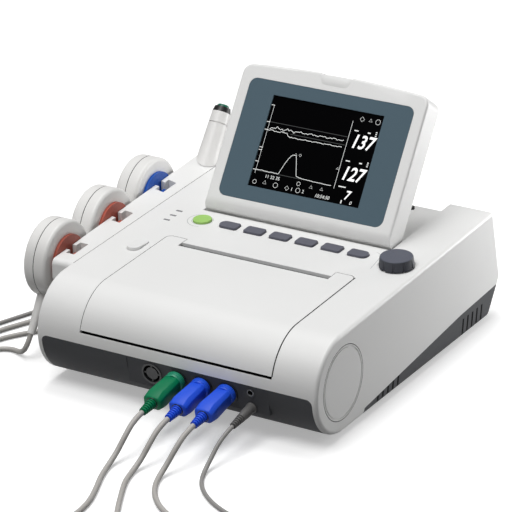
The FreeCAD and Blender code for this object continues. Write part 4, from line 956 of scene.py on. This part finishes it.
groove_shade_radius = sensor_radius - strip_sink
groove_shade = [(groove_shade_radius, groove_x + groove_play), (groove_shade_radius, groove_x + groove_width - groove_play)]
for k in range(3):
    centre_y = sensor_y + sensor_pitch * k
    centre_z = sensor_z + sensor_step * k
    points, faces = turned(groove_shade, lambda u, v, w: at(w, centre_y + u, centre_z + v))
    hang("sensor_%d_seal" % (k + 1), (points, faces[1:-1]), painted_shade, "transducer_%d" % (k + 1))
print("each transducer has its seal")

# %% [markdown]
# A finger tilts the display by a low lip under the notch in its upper edge. The lip is a soft swelling that
# rises from its lower border and dies out at its sides, so it is a grid of points on the frame's face.

# %% Grip lip
lip_low = 126.2
lip_high = 135.2
lip_out = 14.03
lip_foot = 12.0
lip_spread = 5.0
lip_slope = 0.28
lip_curve = 0.027
lip_flatness = 8
lip_rows = 10
lip_columns = 32


def grip_lip(share, up):
    half = lip_foot + lip_spread * math.sqrt(up / (lip_high - lip_low))
    swell = (lip_slope * up - lip_curve * up * up) * (1 - abs(share) ** lip_flatness)
    return on_display(share * half, lip_low + up, lip_out + swell)


rows = [(lip_high - lip_low) * k / lip_rows for k in range(lip_rows + 1)]
points = [grip_lip(2 * c / lip_columns - 1, up) for up in rows for c in range(lip_columns + 1)]
wide = lip_columns + 1
starts = [r * wide + c for r in range(lip_rows) for c in range(lip_columns)]
faces = [(start, start + 1, start + 1 + wide, start + wide) for start in starts]
lip = hang("display_grip_lip", (points, faces), white_abs, "display")
smoothed(lip)
print("grip lip of", len(faces), "faces")

# %% [markdown]
# Thin grey lines are printed on the top: an arc and a ring round the green key, and an arc that ends the
# key row. They are flat lines just above the skin, so the cover needs no picture laid on it.

# %% Printed lines
panel_print = moulded("grey printed line", "#A7A9AB", "#A1A3A5", 0.5, 0.8, 0.1, 1.40)
print_rise = 0.04
print_width = 0.45
ring_width = 0.35
start_x = -89.7
start_arc = 14.5
start_ring = 10.3
row_y = 195.5
end_x = 90.7
end_y = 197.0
end_arc = 10.0
end_tip = (104.0, 174.0)


def arc(x, y, radius, first, last):
    turns = [math.radians(first + (last - first) * k / turn_steps) for k in range(turn_steps)]
    return [(x + radius * math.cos(a), y + radius * math.sin(a)) for a in turns]


def printed(corners, width, closed=False):
    return flat_line(corners, width, lambda x, y: on_top(x, y, print_rise), closed)


prints = [printed(arc(start_x, row_y, start_arc, 130, 290), print_width),
          printed(arc(start_x, row_y, start_ring, 0, 360), ring_width, True),
          printed(arc(end_x, end_y, end_arc, 80, 0) + [end_tip], print_width)]
hang("panel_prints", gathered(prints), panel_print, "housing")
print(len(prints), "printed lines")

# %% [markdown]
# The empty socket has a ring broken by four keys, so that a plug goes in only one way. The ring of bars makes
# the keys. The empty jack has a dark metal rim, which is turned.

# %% Empty socket and jack
key_sink = -0.4
keys = {"Count": 4, "Radius": 7.45, "Bar": (2.5, 1.4, 1.0), "Material": socket_nylon}
key_place = panel_matrix(socket_x - socket_pitch, socket_z, key_sink)
grown("socket_keys", bar_ring, keys, key_place, "housing")
rim = [(2.4, 0.5), (2.6, 0.75), (3.3, 0.75), (3.5, 0.55), (3.5, 0.3), (2.4, 0.3), (2.4, 0.5)]
points, faces = turned(rim, on_panel(jack_x, jack_upper))
hang("jack_rim", (points, faces[1:-1]), dark_sheet_and_slot_shade, "housing")
print("socket keys and jack rim drawn")

# %% [markdown]
# Each sensor's cord is a limp 5 mm PVC lead, and the event marker's is 4 mm. Every cord leaves its plug,
# drops to the table, has its spare length tied in a coil in front of the monitor, and runs back to its
# sensor. The routes below are given one by one, as a lead falls by itself. A point on the table is a pair,
# and gets the height there of its cord's middle.

# %% Routes of the cords
plug_ends = [[(socket_x + k * socket_pitch, -55.77, 33.19), (socket_x + k * socket_pitch, -69.65, 31.31)]
             for k in range(3)]
plug_ends.append([(jack_x, -30.29, 26.88), (jack_x, -38.22, 25.8)])
lead_x = -187.8
sensor_ends = [[(lead_x, 39.03 + sensor_pitch * k, 15.41 + sensor_step * k),
                (lead_x, 45.91 + sensor_pitch * k, 25.24 + sensor_step * k)] for k in range(3)]
sensor_ends.append([(-158.5, 276.09, 55.51), (-158.5, 293.08, 80.24)])
plug_routes = [
    [(1.5, -83, 21), (-1, -93, 9), (-1, -107), (5, -127), (14, -148), (22, -170), (25, -195), (19, -225),
     (11.4, -256)],
    [(27, -82, 21), (24, -91, 9), (23, -104), (28, -124), (38, -145), (49, -167), (62, -190),
     (80.9, -217)],
    [(53, -82, 21), (49.5, -91, 9), (49, -103), (56, -121), (68, -138), (85, -153), (111, -166),
     (145, -181)],
    [(78, -52, 19), (77, -63, 9), (78, -76), (86, -94), (100, -110), (120, -124), (145, -134),
     (174, -139), (208, -146)],
]
sensor_routes = [
    [(-3, -361, 16), (-28, -366, 7), (-45, -355), (-51, -333), (-51, -300), (-57, -262), (-71, -222),
     (-90, -178), (-116, -132), (-144, -88), (-174, -46), (-200, -12), (-216, 6), (-227, 23), (-228, 41),
     (-214, 50), (-199, 45, 3.5)],
    [(70, -318, 17), (51, -336, 8), (30, -355), (6, -369), (-22, -377), (-48, -371), (-64, -348),
     (-67, -310), (-73, -268), (-86, -226), (-104, -182), (-130, -134), (-158, -90), (-186, -50), (-213, -14),
     (-232, 14), (-241, 38), (-238, 60), (-226, 80), (-211, 99), (-199, 113, 3.5)],
    [(136, -277, 17), (115, -295, 8), (95, -316), (72, -335), (48, -353), (22, -370), (-6, -382),
     (-35, -388), (-60, -380), (-75, -356), (-78, -318), (-83, -276), (-96, -232), (-115, -188), (-141, -140),
     (-169, -96), (-197, -56), (-225, -18), (-246, 14), (-254, 46), (-249, 76), (-236, 104), (-223, 134),
     (-211, 164), (-199, 188, 3.5)],
    [(199, -242, 13), (178, -258, 6), (157, -277), (135, -298), (112, -321), (88, -342), (62, -361),
     (34, -379), (4, -392), (-28, -399), (-58, -395), (-79, -376), (-88, -346), (-91, -308), (-97, -268),
     (-110, -226), (-130, -182), (-156, -136), (-184, -93), (-212, -54), (-239, -18), (-259, 14),
     (-267, 48), (-262, 82), (-250, 114), (-237, 148), (-225, 184), (-212, 218), (-195, 246), (-178, 262, 9),
     (-165, 268, 26)],
]


def on_table(route, height):
    return [point if len(point) == 3 else (*point, height) for point in route]


print(sum(len(route) for route in plug_routes + sensor_routes), "points on the routes")

# %% [markdown]
# The coils lie in a row in front. A coil goes in and out in four layers, like a lead wound on a hand. Half
# turns of a slowly changing radius keep its loops apart, and the points stand a little outside the circle,
# because the spline runs inside them.

# %% Coils
lane_x = -33.8
lane_y = -221.9
lane_turn = math.radians(29.3)
coil_out = 100.0
coil_centres = [-16, 67, 144, 216]
coil_radii = [39.0, 36.3, 33.0, 26.9]
coil_layers = ((4, -1), (3, 1), (3, -1), (3, 1))
coil_gap = 1.5
layer_gap = 1.0
coil_rest = 1.6
points_per_half = 6
quarter_steps = 3


def on_lane(along, out, z):
    x = lane_x + along * math.cos(lane_turn) + out * math.sin(lane_turn)
    return (x, lane_y + along * math.sin(lane_turn) - out * math.cos(lane_turn), z)


def coil_corners(radius, thick):
    z = coil_rest + thick / 2
    step = (thick + coil_gap) / 2
    corners = [(radius, z)]
    for layer, (halves, inward) in enumerate(coil_layers):
        if layer > 0:
            z += thick + layer_gap
            corners.append((corners[-1][0], z))
        for half_turn in range(halves):
            corners.append((corners[-1][0] + inward * step, z))
    return corners


def coil_points(centre, radius, thick):
    corners = coil_corners(radius, thick)
    swell = 1 / math.cos(math.pi / (2 * points_per_half))
    points = [on_lane(centre + radius, coil_out - thick, corners[0][1])]
    for i, ((r0, z0), (r1, z1)) in enumerate(zip(corners, corners[1:])):
        side = 1 if i % 2 == 0 else -1
        for step in range(points_per_half):
            turn = math.pi * step / points_per_half
            along = side * ((r0 - r1) / 2 + (r0 + r1) / 2 * swell * math.cos(turn))
            out = side * (r0 + r1) / 2 * swell * math.sin(turn)
            points.append(on_lane(centre + along, coil_out + out, z0 + (z1 - z0) * step / points_per_half))
    last, z = corners[-1]
    wide = last + (thick + coil_gap) / 4
    for step in range(quarter_steps + 1):
        turn = math.pi / 2 * step / quarter_steps
        along = last - wide + wide * math.cos(turn)
        points.append(on_lane(centre + along, coil_out + wide * math.sin(turn), z))
    points.append(on_lane(centre + last - wide - thick, coil_out + wide, z))
    return points


print(sum(halves for halves, inward in coil_layers), "half turns in a coil")

# %% [markdown]
# A lead's jacket is extruded PVC, smooth with a trace of unevenness, which is drawn here as coarse as it
# needs to show, and with a slow drift of tone.

# %% Finish of the leads
lead_skin_mm = 1.4286
lead_drift_mm = 40.0
lead_bump = 0.15
lead_bump_m = 0.0002
lead_roughness = 0.46
lead_ior = 1.53


def pvc_lead(name, light, dark):
    material, tree = blank(name)
    place = add(tree, "ShaderNodeTexCoord").outputs["Object"]
    skin = add(tree, "ShaderNodeTexNoise", {"Vector": place, "Scale": 1000 / lead_skin_mm, "Detail": 3.0})
    drift = add(tree, "ShaderNodeTexNoise", {"Vector": place, "Scale": 1000 / lead_drift_mm, "Detail": 2.0})
    tone = add(tree, "ShaderNodeMix", {0: drift.outputs["Fac"], 6: linear(dark), 7: linear(light)},
               data_type="RGBA")
    bump = add(tree, "ShaderNodeBump", {"Height": skin.outputs["Fac"], "Strength": lead_bump,
                                        "Distance": lead_bump_m})
    surface = add(tree, "ShaderNodeBsdfPrincipled", {
        "Base Color": tone.outputs[2], "Roughness": lead_roughness, "Normal": bump.outputs[0],
        "IOR": lead_ior})
    add(tree, "ShaderNodeOutputMaterial", {"Surface": surface.outputs[0]})
    return material


sensor_lead = pvc_lead("grey PVC lead", "#B9B6B2", "#AFACA8")
marker_lead = pvc_lead("thin grey PVC lead", "#9A9896", "#908E8C")
print("two lead finishes ready")

# %% [markdown]
# A NURBS spline drawn by all the points gives the slack curve of a cord, and its bevel gives the thickness.
# The bare spline is also the cord's middle line.

# %% Cords
cord_names = ["sensor_cord_1", "sensor_cord_2", "sensor_cord_3", "marker_cord"]
cord_radii = [2.5, 2.5, 2.5, 2.0]
table_heights = [2.6, 2.6, 2.6, 2.2]
lead_finishes = [sensor_lead, sensor_lead, sensor_lead, marker_lead]

for k, name in enumerate(cord_names):
    thick = 2 * cord_radii[k]
    route = plug_ends[k] + on_table(plug_routes[k], table_heights[k])
    route += coil_points(coil_centres[k], coil_radii[k], thick)
    route += on_table(sensor_routes[k], table_heights[k]) + sensor_ends[k]
    data = bpy.data.curves.new(name, "CURVE")
    data.dimensions = "3D"
    data.resolution_u = 5
    data.use_fill_caps = True
    data.materials.append(lead_finishes[k])
    spline = data.splines.new("NURBS")
    spline.points.add(len(route) - 1)
    for knot, point in zip(spline.points, route):
        knot.co = (*at(*point), 1)
    spline.order_u = 3
    spline.use_endpoint_u = True
    line = placed("lead line", data)
    middle_line = [v.co.copy() for v in real_mesh(line).vertices]
    data.bevel_depth = cord_radii[k] / 1000
    data.bevel_resolution = 3
    cord = placed(name, real_mesh(line))
    bpy.data.objects.remove(line)
    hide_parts("cord_%d_coil" % (k + 1), "cord_%d_leads" % (k + 1))
    end = Vector(sensor_ends[k][1])
    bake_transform(cord)
    print(name, "has", len(route), "points")

# %% [markdown]
# A hook-and-loop strap holds each coil. It is a flat woven band that goes round the wound layers with soft
# corners, so a thin oblong is carried round them and skinned.

# %% Straps
strap_width = 8.0
strap_thick = 1.2
strap_play = 0.4
strap_corner = 3.0
corner_steps = 6


def strap_path(low_y, high_y, low_z, high_z):
    path = []
    corners = ((high_y, high_z, 0), (low_y, high_z, 1), (low_y, low_z, 2), (high_y, low_z, 3))
    for y, z, quarter in corners:
        middle_y = y + strap_corner * (-1 if quarter in (0, 3) else 1)
        middle_z = z + strap_corner * (-1 if quarter in (0, 1) else 1)
        for step in range(corner_steps + 1):
            turn = math.pi / 2 * (quarter + step / corner_steps)
            path.append((middle_y, middle_z, math.cos(turn), math.sin(turn)))
    return path


bands = []
for k, radius in enumerate(coil_radii):
    thick = 2 * cord_radii[k]
    corners = coil_corners(radius, thick)
    play = thick / 2 + strap_play
    radii = [corner[0] for corner in corners]
    tops = [corner[1] for corner in corners]
    path = strap_path(min(radii) - play, max(radii) + play, min(tops) - play, max(tops) + play)
    rings = []
    for y, z, side, up in path:
        ring = []
        for along, reach in ((-1, 0), (-1, 1), (1, 1), (1, 0)):
            reach = strap_corner + reach * strap_thick
            place = coil_centres[k] + along * strap_width / 2
            ring.append(at(*on_lane(place, coil_out - y - side * reach, z + up * reach)))
        rings.append(ring)
    points, faces = skinned(rings + rings[:1])
    bands.append((points, faces[1:-1]))
straps = hang("cord_straps", gathered(bands), strap_black, "housing")
smoothed(straps)
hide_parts("cord_ties")
print(len(bands), "straps drawn")
